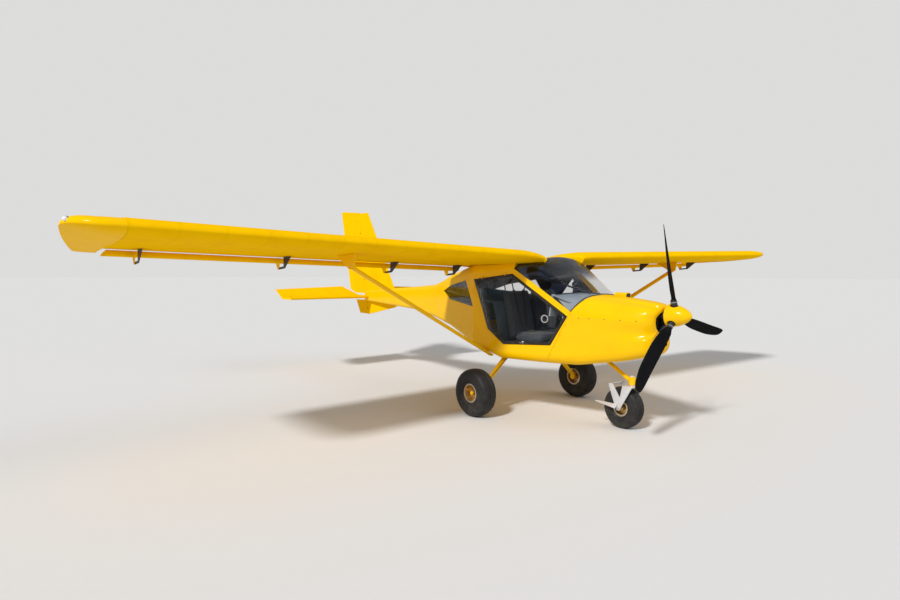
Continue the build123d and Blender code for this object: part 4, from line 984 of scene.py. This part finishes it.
class AIRCRAFT_OT_doors(bpy.types.Operator):
    """Door frames, bulged door glass, seals, vents and handles"""
    bl_idname = "aircraft.doors"
    bl_label = "Doors"

    def execute(self, context):
        corners, outward = door_opening()
        face = frame["nodes"]["door_frame_left"].data.vertices
        lift = max(v.co.dot(outward) for v in face) - corners[0].dot(outward) + .0008
        corners = [c + outward * lift for c in grown(corners, outward, .019)]
        middle = sum(corners, Vector()) / len(corners)
        ring = along_outline(corners)
        rows = []
        for k in range(13):
            share = max(k / 12, .004)
            rise = outward * (sizes().glass_bulge * (1 - share ** 2.2) + .003)
            rows.append([middle + (p - middle) * share + rise for p in ring + ring[:1]])
        glass = walled(laid_skin("door_pane_left", rows, joined=True), .004)
        settle_both(glass, "tinted_pane", "door_left", "door_glass_left")
        seal = rod("door_seal_left", [p + outward * .001 for p in ring], .0042, 8, ring=True)
        settle_both(seal, "frame_black", "door_left")
        softened("door_frame_left", "frame_black", .003, segments=3)
        softened("door_frame_right", "frame_black", .003, segments=3)
        # Round vent in the glass, with its flap
        centre = Vector((x_of(1.345), side_half(1.345), 1.066))
        centre += outward * (middle.dot(outward) - centre.dot(outward) + .012)
        profile = [(.004, .030), (.008, .033), (.008, .040), (.003, .043), (-.008, .042), (-.010, .030)]
        settle_both(spun("door_vent_left", profile, centre, outward, 48), "chrome_ring", "door_left")
        profile = [(-.002, 0), (-.002, .029), (.001, .029), (.0035, .012), (.0035, 0)]
        settle_both(spun("vent_flap_left", profile, centre, outward, 40), "tinted_pane", "door_left")
        # Lower latch on the frame: a plate and a turned handle
        foot = Vector((x_of(1.62), side_half(1.62) + .001, .7975))
        profile = [(-.004, 0), (-.004, .017), (.003, .017), (.005, .014), (.005, 0)]
        latch = joined_up("door_latch_left", [
            spun("latch_base", profile, foot, outward, 32),
            block("latch_bar", foot + Vector((-.038, .003, -.007)), foot + Vector((.012, .011, .007)), .003),
        ])
        settle_both(latch, "machined_steel", "door_left")
        return {"FINISHED"}


def section_points(front, rear, up, down, lift=0.0, droop=0.0):
    """The wing's section fitted between two places along the chord."""
    points = []
    for chord, height in WING_SECTION:
        share = chord / WING_CHORD
        tall = height * (up / WING_UP if height > 0 or share > .99 else down / WING_DOWN)
        points.append((front + share * (rear - front), tall + lift - droop * share ** 2))
    return points


class AIRCRAFT_OT_wings(bpy.types.Operator):
    """Wing skins with sagging fabric, tips, flaperons, brackets and fittings"""
    bl_idname = "aircraft.wings"
    bl_label = "Wings"

    def execute(self, context):
        sag = sizes().rib_sag
        ribs = int(round((WING_CAP_Y - WING_FULL_Y) / RIB_PITCH))
        pitch = (WING_CAP_Y - WING_FULL_Y) / ribs
        full = np.array(section_points(0, WING_CHORD, WING_UP, WING_DOWN))
        root = np.array(section_points(-.030, WING_CHORD, .056, .050, -.026))
        rows = []
        for k in range(13):
            turn = k / 12 * pi / 2
            share = sin(turn)
            y = WING_ROOT_Y + (WING_FULL_Y - WING_ROOT_Y) * (1 - cos(turn)) if k < 12 else WING_FULL_Y
            shape = root * (1 - share) + full * share
            rows.append((y, shape, 0))
        for k in range(1, ribs * 8 + 1):
            rows.append((WING_FULL_Y + pitch * k / 8, full, sag * (1 - (2 * ((k / 8) % 1) - 1) ** 2)))
        laid = []
        for y, shape, depth in rows:
            ring = around_section(shape)
            above = np.sign(ring[:, 1] - ring[:, 1].mean() * .2)
            # The fabric is taut over the nose and along the rear edge
            front, rear = np.clip((ring[:, 0] - .16) / .14, 0, 1), np.clip((1.08 - ring[:, 0]) / .12, 0, 1)
            ring[:, 1] -= above * front * rear * depth
            laid.append([wing_place(c, h, y) for c, h in np.vstack([ring, ring[:1]])])
        wing = laid_skin("wing_skin_left", laid, joined=True, closed_ends=True)
        settle_both(wing, "fabric_paint", "airframe", "wing_left")
        self.make_tips()
        for side in ("left", "right"):
            self.make_flaperon(side)
            softened("flaperon_brackets_" + side, "frame_black", .0008)
        return {"FINISHED"}

    def make_flaperon(self, side):
        """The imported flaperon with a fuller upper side."""
        flap = merged_copy("flaperon_" + side, "flaperon_shown_" + side)
        for vertex in flap.data.vertices:
            rear = wing_place(WING_CHORD, -.058, abs(vertex.co.y))
            middle = rear[2] - (rear[0] - vertex.co.x) * sin(WING_TILT)
            vertex.co.z += .55 * max(0, vertex.co.z - middle)
        bevelled(flap, .0012)
        settle(flap, "fabric_paint", "flaperon_" + side, "flaperon_" + side, flat_faces=True)

    def make_tips(self):
        """Wing tips, with a clear position light and its dark socket on each."""
        at = np.concatenate([np.linspace(0, .240, 19), np.linspace(.240, .316, 14)[1:],
                             np.linspace(.316, .329, 8)[1:]])
        rows = []
        for y, shape in zip(at, table_at(TIP, at)):
            ring = around_section(section_points(*shape))
            ring = np.vstack([ring, ring[:1]])
            rows.append([wing_place(c, h, WING_CAP_Y + .001 + y * .997) for c, h in ring])
        tip = laid_skin("wing_tip_skin_left", rows, joined=True, closed_ends=True)
        settle_both(tip, "tip_paint", "airframe", "wing_tip_left")
        centre = wing_place(.190, .050, WING_CAP_Y + .304)
        lens = [(0, .016), (.010, .0155), (.018, .012), (.023, .006), (.0245, 0), (0, 0)]
        socket = [(-.022, 0), (-.022, .019), (.002, .019), (.003, .0165), (.003, 0)]
        settle_both(spun("tip_light_left", lens, centre, (.55, .80, .20), 28), "clear_lens")
        settle_both(spun("tip_socket_left", socket, centre, (.55, .80, .20), 28), "dark_plastic")


class AIRCRAFT_OT_tail(bpy.types.Operator):
    """Fin, rudder, tailplane and elevator"""
    bl_idname = "aircraft.tail"
    bl_label = "Tail"

    def execute(self, context):
        for name in ("fin", "ventral_fin", "rudder", "tailplane_left", "tailplane_right", "elevator"):
            softened(name, "fabric_paint", .0025, angle=32, segments=3)
        return {"FINISHED"}


def tyre_profile(width, radius, rim, depth):
    """Half-round tyre section with grooves, as a closed loop of places and radii."""
    height = radius - rim
    knots = [
        (-BEAD * width, rim), (-.475 * width, rim + height * .20), (-.5 * width, rim + height * .48),
        (-.44 * width, rim + height * .80), (-.30 * width, radius - height * .055),
        (-.12 * width, radius - .002), (0, radius),
    ]
    outline = []
    for y, r in through(np.arange(len(knots)), knots, np.linspace(0, len(knots) - 1, 61)):
        for groove, share in ((.07, 1.0), (.19, 1.0), (.30, .8)):
            r -= depth * share * max(0.0, 1 - (abs(abs(y) / width - groove) / .014) ** 2)
        outline.append((y, r))
    return outline + [(-y, r) for y, r in reversed(outline[:-1])]


def rim_profile(width, rim, hub):
    """Dished wheel section from the outside bead to the inside one, as a closed loop."""
    bead, bore = BEAD * width, .0125
    outer = [
        (-hub / 2, bore), (-hub / 2, .026), (-hub * .36, .028), (-.010, .031), (-.008, rim * .60),
        (-.012, rim * .78), (-bead * .55, rim * .86), (-bead * .86, rim * .90), (-bead - .002, rim * .98),
        (-bead - .004, rim + .004), (-bead + .001, rim + .004), (-bead + .002, rim - .0005),
    ]
    return outer + [(-y, r) for y, r in reversed(outer)]


def make_wheel(label, wheel, body):
    """A tyre with grooves, a dished rim, its pale rings, its bolts and its valve."""
    side = -1 if "right" in label else 1
    centre, axle = Vector((x_of(wheel["station"]), side * wheel["y"], wheel["radius"])), (0, 1, 0)
    width, radius, rim = (wheel[key] for key in ("width", "radius", "rim"))
    profile = tyre_profile(width, radius, rim, sizes().tread_depth)
    settle(spun("tyre_rubber_" + label, profile, centre, axle, 120), "rubber", body, "tyre_" + label, 30)
    profile = rim_profile(width, rim, wheel["hub"])
    settle(spun("wheel_disc_" + label, profile, centre, axle, 72), "gold_metal", body, "wheel_" + label, 30)
    rings, bolts = [], []
    for face in (-1, 1):
        shape = ((.0052, .0055), (.0075, -.002), (.005, -.010), (-.001, -.011), (.001, .002))
        profile = [(BEAD * width * face + face * along, rim + out) for along, out in shape]
        rings.append(spun("ring", profile, centre, axle, 72))
        for k in range(6):
            turn = radians(60 * k + 20)
            spot = centre + Vector((cos(turn) * rim * .62, face * .010, sin(turn) * rim * .62))
            bolts.append(bolt("bolt", spot, (0, face, 0), .0055, .006))
    settle(joined_up("rim_rings_" + label, rings), "pale_rim", body, angle=30)
    settle(joined_up("wheel_bolts_" + label, bolts), "machined_steel", body)
    valve = centre + Vector((rim * .80, .020 * side, 0))
    stem = rod("tyre_valve_" + label, [valve, valve + Vector((.004, .022 * side, 0))], .003, 10)
    settle(stem, "rubber_boot", body)


class AIRCRAFT_OT_undercarriage(bpy.types.Operator):
    """Legs, fork, wheels and tyres"""
    bl_idname = "aircraft.undercarriage"
    bl_label = "Undercarriage"

    def execute(self, context):
        make_wheel("left", MAIN_WHEEL, "main_wheel_left")
        make_wheel("right", MAIN_WHEEL, "main_wheel_right")
        make_wheel("nose", NOSE_WHEEL, "nose_wheel")
        softened("main_leg_left", "metal_paint", .0012)
        softened("main_leg_right", "metal_paint", .0012)
        softened("nose_leg", "metal_paint", .0015, segments=3)
        # Hydraulic lines down the main legs
        x = x_of(MAIN_WHEEL["station"]) + .042
        leg = [(x, .36, .625), (x, .52, .515), (x, .66, .405), (x, .78, .300)]
        settle_both(rod("brake_line_left", leg, .004, 10), "rubber_boot")
        self.make_fork()
        return {"FINISHED"}

    def make_fork(self):
        """The nose wheel's fork with a folded crown, its plates, nuts and washer."""
        station, top = FORK_CROWN
        fork = merged_copy("nose_fork", "nose_fork_shown")

        def on_crown(at, along):
            return abs(along.x) > .9 and abs(at.y) > .100 and abs(at.z - top) < .004

        folded(fork, on_crown, .017)
        settle(bevelled(fork, .0012, limit=40), "fork_alloy", "nose_fork", "nose_fork", 35)
        plates = merged_copy("fork_plates", "fork_plates_shown")
        for vertex in plates.data.vertices:
            vertex.co.z -= .75 * max(0, abs(vertex.co.y) - .104)
        settle(bevelled(plates, .001, limit=40), "fork_alloy", "nose_fork", "fork_plates", 35)
        trim = []
        for side in (-1, 1):
            for y, radius, height in ((.102, .017, .004), (.106, .010, .010)):
                centre = (x_of(NOSE_WHEEL["station"]), side * y, NOSE_WHEEL["radius"])
                profile = [(0, 0), (0, radius), (height, radius * .9), (height, 0)]
                trim.append(spun("nut", profile, centre, (0, side, 0), 6))
        profile = [(0, .016), (0, .036), (.004, .036), (.004, .016)]
        trim.append(spun("washer", profile, (x_of(station), 0, top), (0, 0, 1), 40))
        settle(joined_up("fork_fittings", trim), "machined_steel", "nose_fork")


def folded(piece, chosen, width, segments=6):
    """The piece with a wide bend along the edges whose middle and direction the test accepts."""
    with editing(piece):
        bpy.ops.mesh.select_all(action="DESELECT")
        bpy.ops.mesh.select_mode(type="EDGE")
    points = [v.co for v in piece.data.vertices]
    for edge in piece.data.edges:
        a, b = (points[i] for i in edge.vertices)
        edge.select = bool(chosen((a + b) / 2, (b - a).normalized()))
    bpy.ops.object.mode_set(mode="EDIT")
    bpy.ops.mesh.bevel(offset=width, segments=segments, affect="EDGES", clamp_overlap=True)
    bpy.ops.object.mode_set(mode="OBJECT")
    return piece


def blade_rows(turn):
    """Rows of a blade's skin from its root to its tip, turned about the shaft."""
    radii = np.concatenate([np.linspace(.064, .215, 16), np.linspace(.215, .84, 34)[1:],
                            np.linspace(.84, .8575, 9)[1:]])
    around = np.linspace(0, 2 * pi, 41)
    place = (1 - np.cos(around)) / 2
    # Half thickness of a standard aerofoil for a thickness of 1
    half_share = 2.6 * (.2969 * np.sqrt(place) - .126 * place - .3516 * place ** 2 + .2843 * place ** 3
                        - .1036 * place ** 4)
    stalk = BLADE_ROOT * np.column_stack([-np.cos(around), np.sin(around)])
    rows = []
    for radius, (chord, thick, pitch, sweep) in zip(radii, table_at(BLADE, radii)):
        upper = np.where(np.sin(around) >= 0, 1.15, -.85) * half_share * thick
        wing = np.column_stack([(place - .5) * chord + sweep, upper + thick * .5 * place * (1 - place)])
        share = np.clip((radius - .115) / .10, 0, 1)
        share = share * share * (3 - 2 * share)
        across, forward = (stalk * (1 - share) + wing * share).T
        p = radians(pitch)
        y, x = across * cos(p) + forward * sin(p), -across * sin(p) + forward * cos(p)
        rows.append([Matrix.Rotation(turn, 3, "X") @ Vector((a, b, radius)) for a, b in zip(x, y)])
    return np.array(rows) + (x_of(PROP_STATION), 0, PROP_AXIS_Z)


def spinner_profile(length, radius, wall, rear):
    """Closed section of the spinner's shell from its tip back, and forward again inside."""
    def half(place, size, reach):
        return size * (1 - (1 - place / reach) ** 2) ** .66

    at = np.concatenate([[0], np.geomspace(.002, 1, 26) * rear])
    outer = [(-a, half(a, radius, length)) for a in at]
    inner = [(-a, max(half(a, radius, length) - wall, 0)) for a in at[3:]]
    return outer + list(reversed(inner)) + [(-at[3], 0)]


class AIRCRAFT_OT_propeller(bpy.types.Operator):
    """Spinner, hub, blades and their root boots"""
    bl_idname = "aircraft.propeller"
    bl_label = "Propeller"

    def execute(self, context):
        centre = Vector((x_of(PROP_STATION), 0, PROP_AXIS_Z))
        tip, ahead, root = (NOSE_X, 0, PROP_AXIS_Z), (1, 0, 0), BLADE_ROOT
        hole = [(.06, 0), (.06, .036), (.16, .040), (.16, 0)]
        boot = [(.084, root + .0004), (.084, .029), (.100, .030), (.128, .029), (.148, .0265),
                (.154, root + .0004)]
        band = [(.128, root), (.128, .0302), (.129, .0310), (.137, .0306), (.138, .0295), (.138, root)]
        profile = spinner_profile(SPINNER_LENGTH, SPINNER_RADIUS, .0028, SPINNER_LENGTH - .002)
        shell = spun("spinner_shell", profile, tip, ahead)
        blades, holes, boots, bands = [], [], [], []
        for k in range(3):
            turn = radians(PROP_PHASE + 120 * k)
            along = Matrix.Rotation(turn, 3, "X") @ Vector((0, 0, 1))
            blades.append(laid_skin("blade", blade_rows(turn), joined=True, closed_ends=True))
            holes.append(spun("hole", hole, centre, along, 40))
            boots.append(spun("boot", boot, centre, along, 36))
            bands.append(spun("band", band, centre, along, 36))
        cut(shell, *holes)
        front, rear, rim = .0035 - SPINNER_LENGTH, .0002 - SPINNER_LENGTH, SPINNER_RADIUS - .0015
        profile = [(front, .045), (front, rim), (rear, rim), (rear, .045)]
        disc = spun("spinner_plate", profile, tip, ahead, 72)
        settle(joined_up("spinner_shell", [shell, disc]), "gloss_paint", "propeller", "spinner", 35)
        settle(joined_up("blade_skins", blades), "blade_black", "propeller", "propeller_blades", 50)
        settle(joined_up("blade_boots", boots), "rubber_boot", "propeller")
        settle(joined_up("blade_bands", bands), "machined_steel", "propeller")
        softened("propeller_hub", "machined_steel", .002)
        return {"FINISHED"}


def points_of(piece):
    """The places of a piece's vertices."""
    points = np.empty(len(piece.data.vertices) * 3)
    piece.data.vertices.foreach_get("co", points)
    return points.reshape(-1, 3)


def filled(pad):
    """A pad swollen as cloth under pressure, its points moved by the seat swell at most."""
    scene, before = bpy.context.scene, points_of(pad)
    cloth = pad.modifiers.new("Cloth", "CLOTH")
    cloth.settings.use_pressure = True
    cloth.settings.uniform_pressure_force = 4.0
    cloth.settings.effector_weights.gravity = 0.0
    for number in range(1, 21):
        scene.frame_set(number)
    only(pad)
    bpy.ops.object.modifier_apply(modifier=cloth.name)
    scene.frame_set(1)
    moved = points_of(pad) - before
    far = np.linalg.norm(moved, axis=1, keepdims=True)
    moved *= np.minimum(1, sizes().seat_swell / np.maximum(far, 1e-9))
    pad.data.vertices.foreach_set("co", (before + moved).ravel())


def seat_pad(name, size, place, turn, channels, stands_for):
    """A sewn seat pad: a rounded block filled like a cushion, with its channels pressed in."""
    start()
    bpy.ops.mesh.primitive_cube_add(size=1)
    pad = added(name)
    pad.scale = [side - .010 for side in size]
    bpy.ops.object.transform_apply(location=False, rotation=False, scale=True)
    modified(pad, "BEVEL", width=.026, segments=4)
    modified(pad, "REMESH", mode="VOXEL", voxel_size=.0065)
    filled(pad)
    modified(pad, "SUBSURF", levels=1, render_levels=1)
    points, half = points_of(pad), np.array(size) / 2
    top = np.clip(points[:, 2] / half[2], 0, 1) ** .5
    crown = (1 - (points[:, 0] / half[0]) ** 2) * (1 - (points[:, 1] / half[1]) ** 2)
    points[:, 2] += .004 * top * np.clip(crown, 0, 1)
    for direction, at in channels:
        across = points[:, direction] - at
        points[:, 2] -= .0085 * top * np.exp(-(across / .007) ** 2)
    # The pad stays in the space of its solid, and sits flat on its base
    points = np.clip(points, -half + (0, 0, .0002), half + (.004, .004, .006))
    points[:, :2] = np.clip(points[:, :2], -half[:2] - .004, half[:2] + .004)
    pad.data.vertices.foreach_set("co", points.ravel())
    pad.matrix_world = Matrix.Translation(place) @ Matrix.Rotation(turn, 4, "Y")
    settle(pad, "seat_weave", "airframe", stands_for, 60)


def back_foot(side):
    """Foot of a seat's back: 1 for the port seat and -1 for the starboard one."""
    return Vector((x_of(BACK_FOOT[0]), side * SEAT_Y, BACK_FOOT[1]))


class AIRCRAFT_OT_cabin(bpy.types.Operator):
    """Seats, harness, instrument panel, stick, pedals and shelf"""
    bl_idname = "aircraft.cabin"
    bl_label = "Cabin"

    def execute(self, context):
        up = Vector((-sin(SEAT_TILT), 0, cos(SEAT_TILT)))
        back = Vector((-cos(SEAT_TILT), 0, -sin(SEAT_TILT)))
        for side, word in ((1, "left"), (-1, "right")):
            seat_pad("seat_cushion_pad_" + word, (.401, .390, .090),
                     (x_of(1.6255), side * SEAT_Y, SEAT_TOP + .045), 0,
                     [(0, .07), (0, -.07), (1, .125), (1, -.125)], "seat_cushion_" + word)
            # The back's pad faces forward: its own top looks at the panel
            centre = back_foot(side) + up * .280 + back * .040
            seat_pad("seat_back_pad_" + word, (.560, .390, .080), centre, radians(90) - SEAT_TILT,
                     [(0, -.09), (0, .09), (1, .125), (1, -.125)], "seat_back_" + word)
        softened("seat_base", "dark_plastic", .002)
        softened("baggage_wall", "blue_cloth", .002)
        softened("instrument_panel", "light_plastic", .002)
        softened("control_stick", "frame_black", .001)
        self.make_lining()
        self.make_panel()
        self.make_harness(up, back)
        self.make_tubes()
        return {"FINISHED"}

    def make_lining(self):
        """Dark plastic over the inner faces of the cabin's shell."""
        lining = merged_copy("cabin_shell", "cabin_lining")
        with editing(lining):
            bpy.ops.mesh.select_mode(type="FACE")
        for face in lining.data.polygons:
            side = face.center.y * face.normal.y
            face.select = not (side < -.002 or (face.normal.z > .6 and face.center.z < .66))
        bpy.ops.object.mode_set(mode="EDIT")
        bpy.ops.mesh.delete(type="FACE")
        # The screen pillars keep their paint inside
        bpy.ops.mesh.select_all(action="SELECT")
        bpy.ops.mesh.bisect(plane_co=(x_of(PILLAR[0][0]) - .034, 0, PILLAR[0][1] - .052),
                            plane_no=(.551, 0, .834), clear_outer=True)
        bpy.ops.object.mode_set(mode="OBJECT")
        settle(walled(lining, .0014, 1), "dark_plastic")

    def make_panel(self):
        """Dials, screen, switches, throttle and the padded edge of the panel."""
        def spot(y, share):
            """Place on the panel, from its top to its foot."""
            (station, fall), (height, drop) = zip(PANEL_TOP, PANEL_FALL)
            return Vector((x_of(station + fall * share), y, height - drop * share))

        def across_dial(turn):
            return Vector((0, cos(radians(turn)), 0)) + PANEL_UP * sin(radians(turn))

        corners = [spot(*at) for at in ((-.355, .02), (.355, .02), (.345, .96), (-.345, .96))]
        settle(plate("panel_face", corners, PANEL_OUT * .0016, .0005), "dark_plastic")
        rims, faces, marks = [], [], []
        large = [(y, .34, .040) for y in (.285, .185, .085, -.015)]
        small = [(y, .74, .026) for y in (.290, .215, .140, .065, -.010, -.085)]
        for y, share, radius in large + small:
            at = spot(y, share)
            profile = [(0, radius), (0, radius + .006), (.004, radius + .005), (.006, radius),
                       (.004, radius - .002)]
            rims.append(spun("rim", profile, at, PANEL_OUT, 40))
            profile = [(-.004, 0), (-.004, radius), (.0022, radius), (.0022, 0)]
            faces.append(spun("face", profile, at, PANEL_OUT, 32))
            for turn in range(0, 360, 30):
                across = across_dial(turn)
                tick = at + across * radius * .80 + PANEL_OUT * .0022
                marks.append(rod("tick", [tick, tick + across * radius * .14], .0010, 4))
            tail = at + PANEL_OUT * .003
            tip = tail + across_dial(37 * (len(faces) * 3 % 8)) * radius * .68
            marks.append(rod("pointer", [tail, tip], .0013, 5))
        settle(joined_up("dial_rims", rims), "machined_steel", angle=30)
        settle(joined_up("dial_faces", faces), "dark_glass")
        settle(joined_up("dial_marks", marks), "dial_white")
        low, wide = spot(-.300, .62), Vector((0, .19, 0))
        tall = spot(-.110, .14) - low - wide
        corners = [low, low + wide, low + wide + tall, low + tall]
        settle(plate("panel_screen", corners, PANEL_OUT * .010, .003), "dark_glass")
        profile = [(0, .006), (.003, .006), (.003, .003), (.016, .0022), (.016, 0), (0, 0)]
        knobs = [spun("switch", profile, spot(-.13 - .028 * k, .86), PANEL_OUT, 16) for k in range(7)]
        lever = spot(.0, .92)
        knobs.append(rod("throttle", [lever, lever + PANEL_OUT * .075], .0045, 12))
        profile = [(.07, 0), (.07, .012), (.085, .017), (.098, .014), (.10, 0)]
        knobs.append(spun("knob", profile, lever, PANEL_OUT, 24))
        settle(joined_up("panel_switches", knobs), "machined_steel")
        edge = []
        for y in np.linspace(-.36, .36, 25):
            bow = (abs(y) / .36) ** 2
            edge.append((x_of(1.306) + .020 * bow, y, 1.318 - .012 * bow))
        settle(rod("panel_edge", edge, .011, 12), "rubber_boot")

    def make_harness(self, up, back):
        """Shoulder straps, lap belts and buckles, and the pedals."""
        straps, metal = [], []
        z, wide = SEAT_TOP + .0985, Vector((0, .021, 0))
        for side in (-1, 1):
            foot, middle = back_foot(side) - back * .010, side * SEAT_Y
            for offset in (-.075, .075):
                low = foot + up * .13 + Vector((0, offset * .45, 0))
                high = foot + up * .545 + Vector((0, offset, 0))
                corners = [low - wide, low + wide, high + wide, high - wide]
                straps.append(plate("strap", corners, -back * .0025, .0008))
            for reach in (-1, 1):
                near, end = middle + reach * .02, middle + reach * .185
                corners = [(x_of(1.73), near, z), (x_of(1.77), near, z), (x_of(1.80), end, z - .012),
                           (x_of(1.76), end, z - .012)]
                straps.append(plate("lap", corners, (0, 0, .0025), .0008))
            low, high = (x_of(1.785), middle - .028, z - .001), (x_of(1.715), middle + .028, z + .014)
            metal.append(block("buckle", low, high))
            for y in (side * .13, side * .30):
                metal.append(rod("pedal_bar", [(x_of(1.070), y, .640), (x_of(1.105), y, .800)], .008, 12))
                metal.append(block("pedal", (x_of(1.112), y - .038, .745), (x_of(1.098), y + .038, .815)))
        settle(joined_up("harness_straps", straps), "belt_webbing")
        settle(joined_up("buckles_and_pedals", metal), "machined_steel")

    def make_tubes(self):
        """Thin tubes of the cabin's frame, the compass and its tube."""
        tubes = []
        for side in (-1, 1):
            for (s0, z0), (s1, z1) in (((2.748, 1.493), (2.691, 1.227)), ((2.619, 1.508), (2.525, 1.192)),
                                       ((2.314, 1.476), (2.436, 1.208))):
                tubes.append(rod("tube", [(x_of(s0), side * .30, z0), (x_of(s1), side * .30, z1)], .0075, 12))
        tubes.append(rod("tube", [(x_of(1.867), 0, 1.500), (x_of(1.132), 0, 1.327)], .011))
        x = x_of(1.407)
        tubes.append(rod("tube", [(x, 0, 1.385), (x, .055, 1.392), (x, .080, 1.400)], .005, 10))
        settle(joined_up("cabin_tubes", tubes), "frame_black")
        profile = [(-.030 * cos(a), .030 * sin(a)) for a in np.linspace(0, pi, 17)]
        settle(spun("compass", profile, (x, .085, 1.415), (0, 0, 1), 32), "dark_glass")
        settle(block("pillar_block", (x_of(1.330), .368, 1.300), (x_of(1.298), .392, 1.330)), "white_paint")


class AIRCRAFT_OT_stage(bpy.types.Operator):
    """Floor, lamps, world and camera"""
    bl_idname = "aircraft.stage"
    bl_label = "Stage"

    def execute(self, context):
        scene = context.scene
        start()
        bpy.ops.mesh.primitive_grid_add(x_subdivisions=4, y_subdivisions=4, size=400)
        floor = added("floor")
        material = bpy.data.materials.new("floor_pale")
        material.use_nodes = True
        tree = material.node_tree
        wire(tree, tree.nodes["Principled BSDF"].inputs, {
            "Base Color": FLOOR_COLOUR, "Roughness": .95, "Specular IOR Level": 0,
        })
        floor.data.materials.append(material)

        scene.world = bpy.data.worlds.new("studio")
        scene.world.use_nodes = True
        tree = scene.world.node_tree
        path = node(tree, "LightPath")
        seen = maths(tree, "MAXIMUM", path["Is Camera Ray"], path["Is Transmission Ray"])
        wire(tree, tree.nodes["Background"].inputs, {
            "Color": mixed(tree, seen, SKY_COLOUR, BACKDROP_COLOUR),
            "Strength": maths(tree, "MULTIPLY_ADD", seen, .55, .45),
        })

        for name, place, energy, size in LAMPS:
            bpy.ops.object.light_add(type="SUN", location=place)
            lamp = added(name)
            lamp.data.energy = energy
            lamp.data.angle = radians(size)
            lamp.rotation_euler = (-Vector(place)).to_track_quat("-Z", "Y").to_euler()

        bpy.ops.object.camera_add()
        camera = added("photo_camera")
        camera.data.sensor_fit = "HORIZONTAL"
        camera.data.sensor_width = 36.0
        camera.data.lens = CAMERA_LENS
        camera.data.clip_end = 500
        camera.matrix_world = Matrix([(*row, end) for row, end in zip(CAMERA, (0, 0, 0, 1))]).transposed()
        scene.camera = camera
        scene.view_settings.view_transform = "Standard"
        return {"FINISHED"}


STEPS = (
    AIRCRAFT_OT_stage, AIRCRAFT_OT_cowl, AIRCRAFT_OT_canopy, AIRCRAFT_OT_fuselage, AIRCRAFT_OT_doors,
    AIRCRAFT_OT_wings, AIRCRAFT_OT_tail, AIRCRAFT_OT_undercarriage, AIRCRAFT_OT_propeller, AIRCRAFT_OT_cabin,
)


class AIRCRAFT_PT_pieces(bpy.types.Panel):
    """The aircraft's pieces in the sidebar"""
    bl_label = "Microlight aircraft"
    bl_idname = "AIRCRAFT_PT_pieces"
    bl_space_type = "VIEW_3D"
    bl_region_type = "UI"
    bl_category = "Aircraft"

    def draw(self, context):
        for settings in (context.scene.aircraft_colours, context.scene.aircraft_sizes):
            for name in settings.__annotations__:
                self.layout.prop(settings, name)
        for step in STEPS:
            self.layout.operator(step.bl_idname)


CLASSES = (AircraftColours, AircraftSizes, *STEPS, AIRCRAFT_PT_pieces)


def register():
    for made in CLASSES:
        bpy.utils.register_class(made)
    bpy.types.Scene.aircraft_colours = bpy.props.PointerProperty(type=AircraftColours)
    bpy.types.Scene.aircraft_sizes = bpy.props.PointerProperty(type=AircraftSizes)


def unregister():
    del bpy.types.Scene.aircraft_sizes
    del bpy.types.Scene.aircraft_colours
    for made in reversed(CLASSES):
        bpy.utils.unregister_class(made)


def main():
    """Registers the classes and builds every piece."""
    register()
    make_finishes()
    for step in STEPS:
        getattr(bpy.ops.aircraft, step.bl_idname.split(".")[1])()


if __name__ == "__main__":
    main()
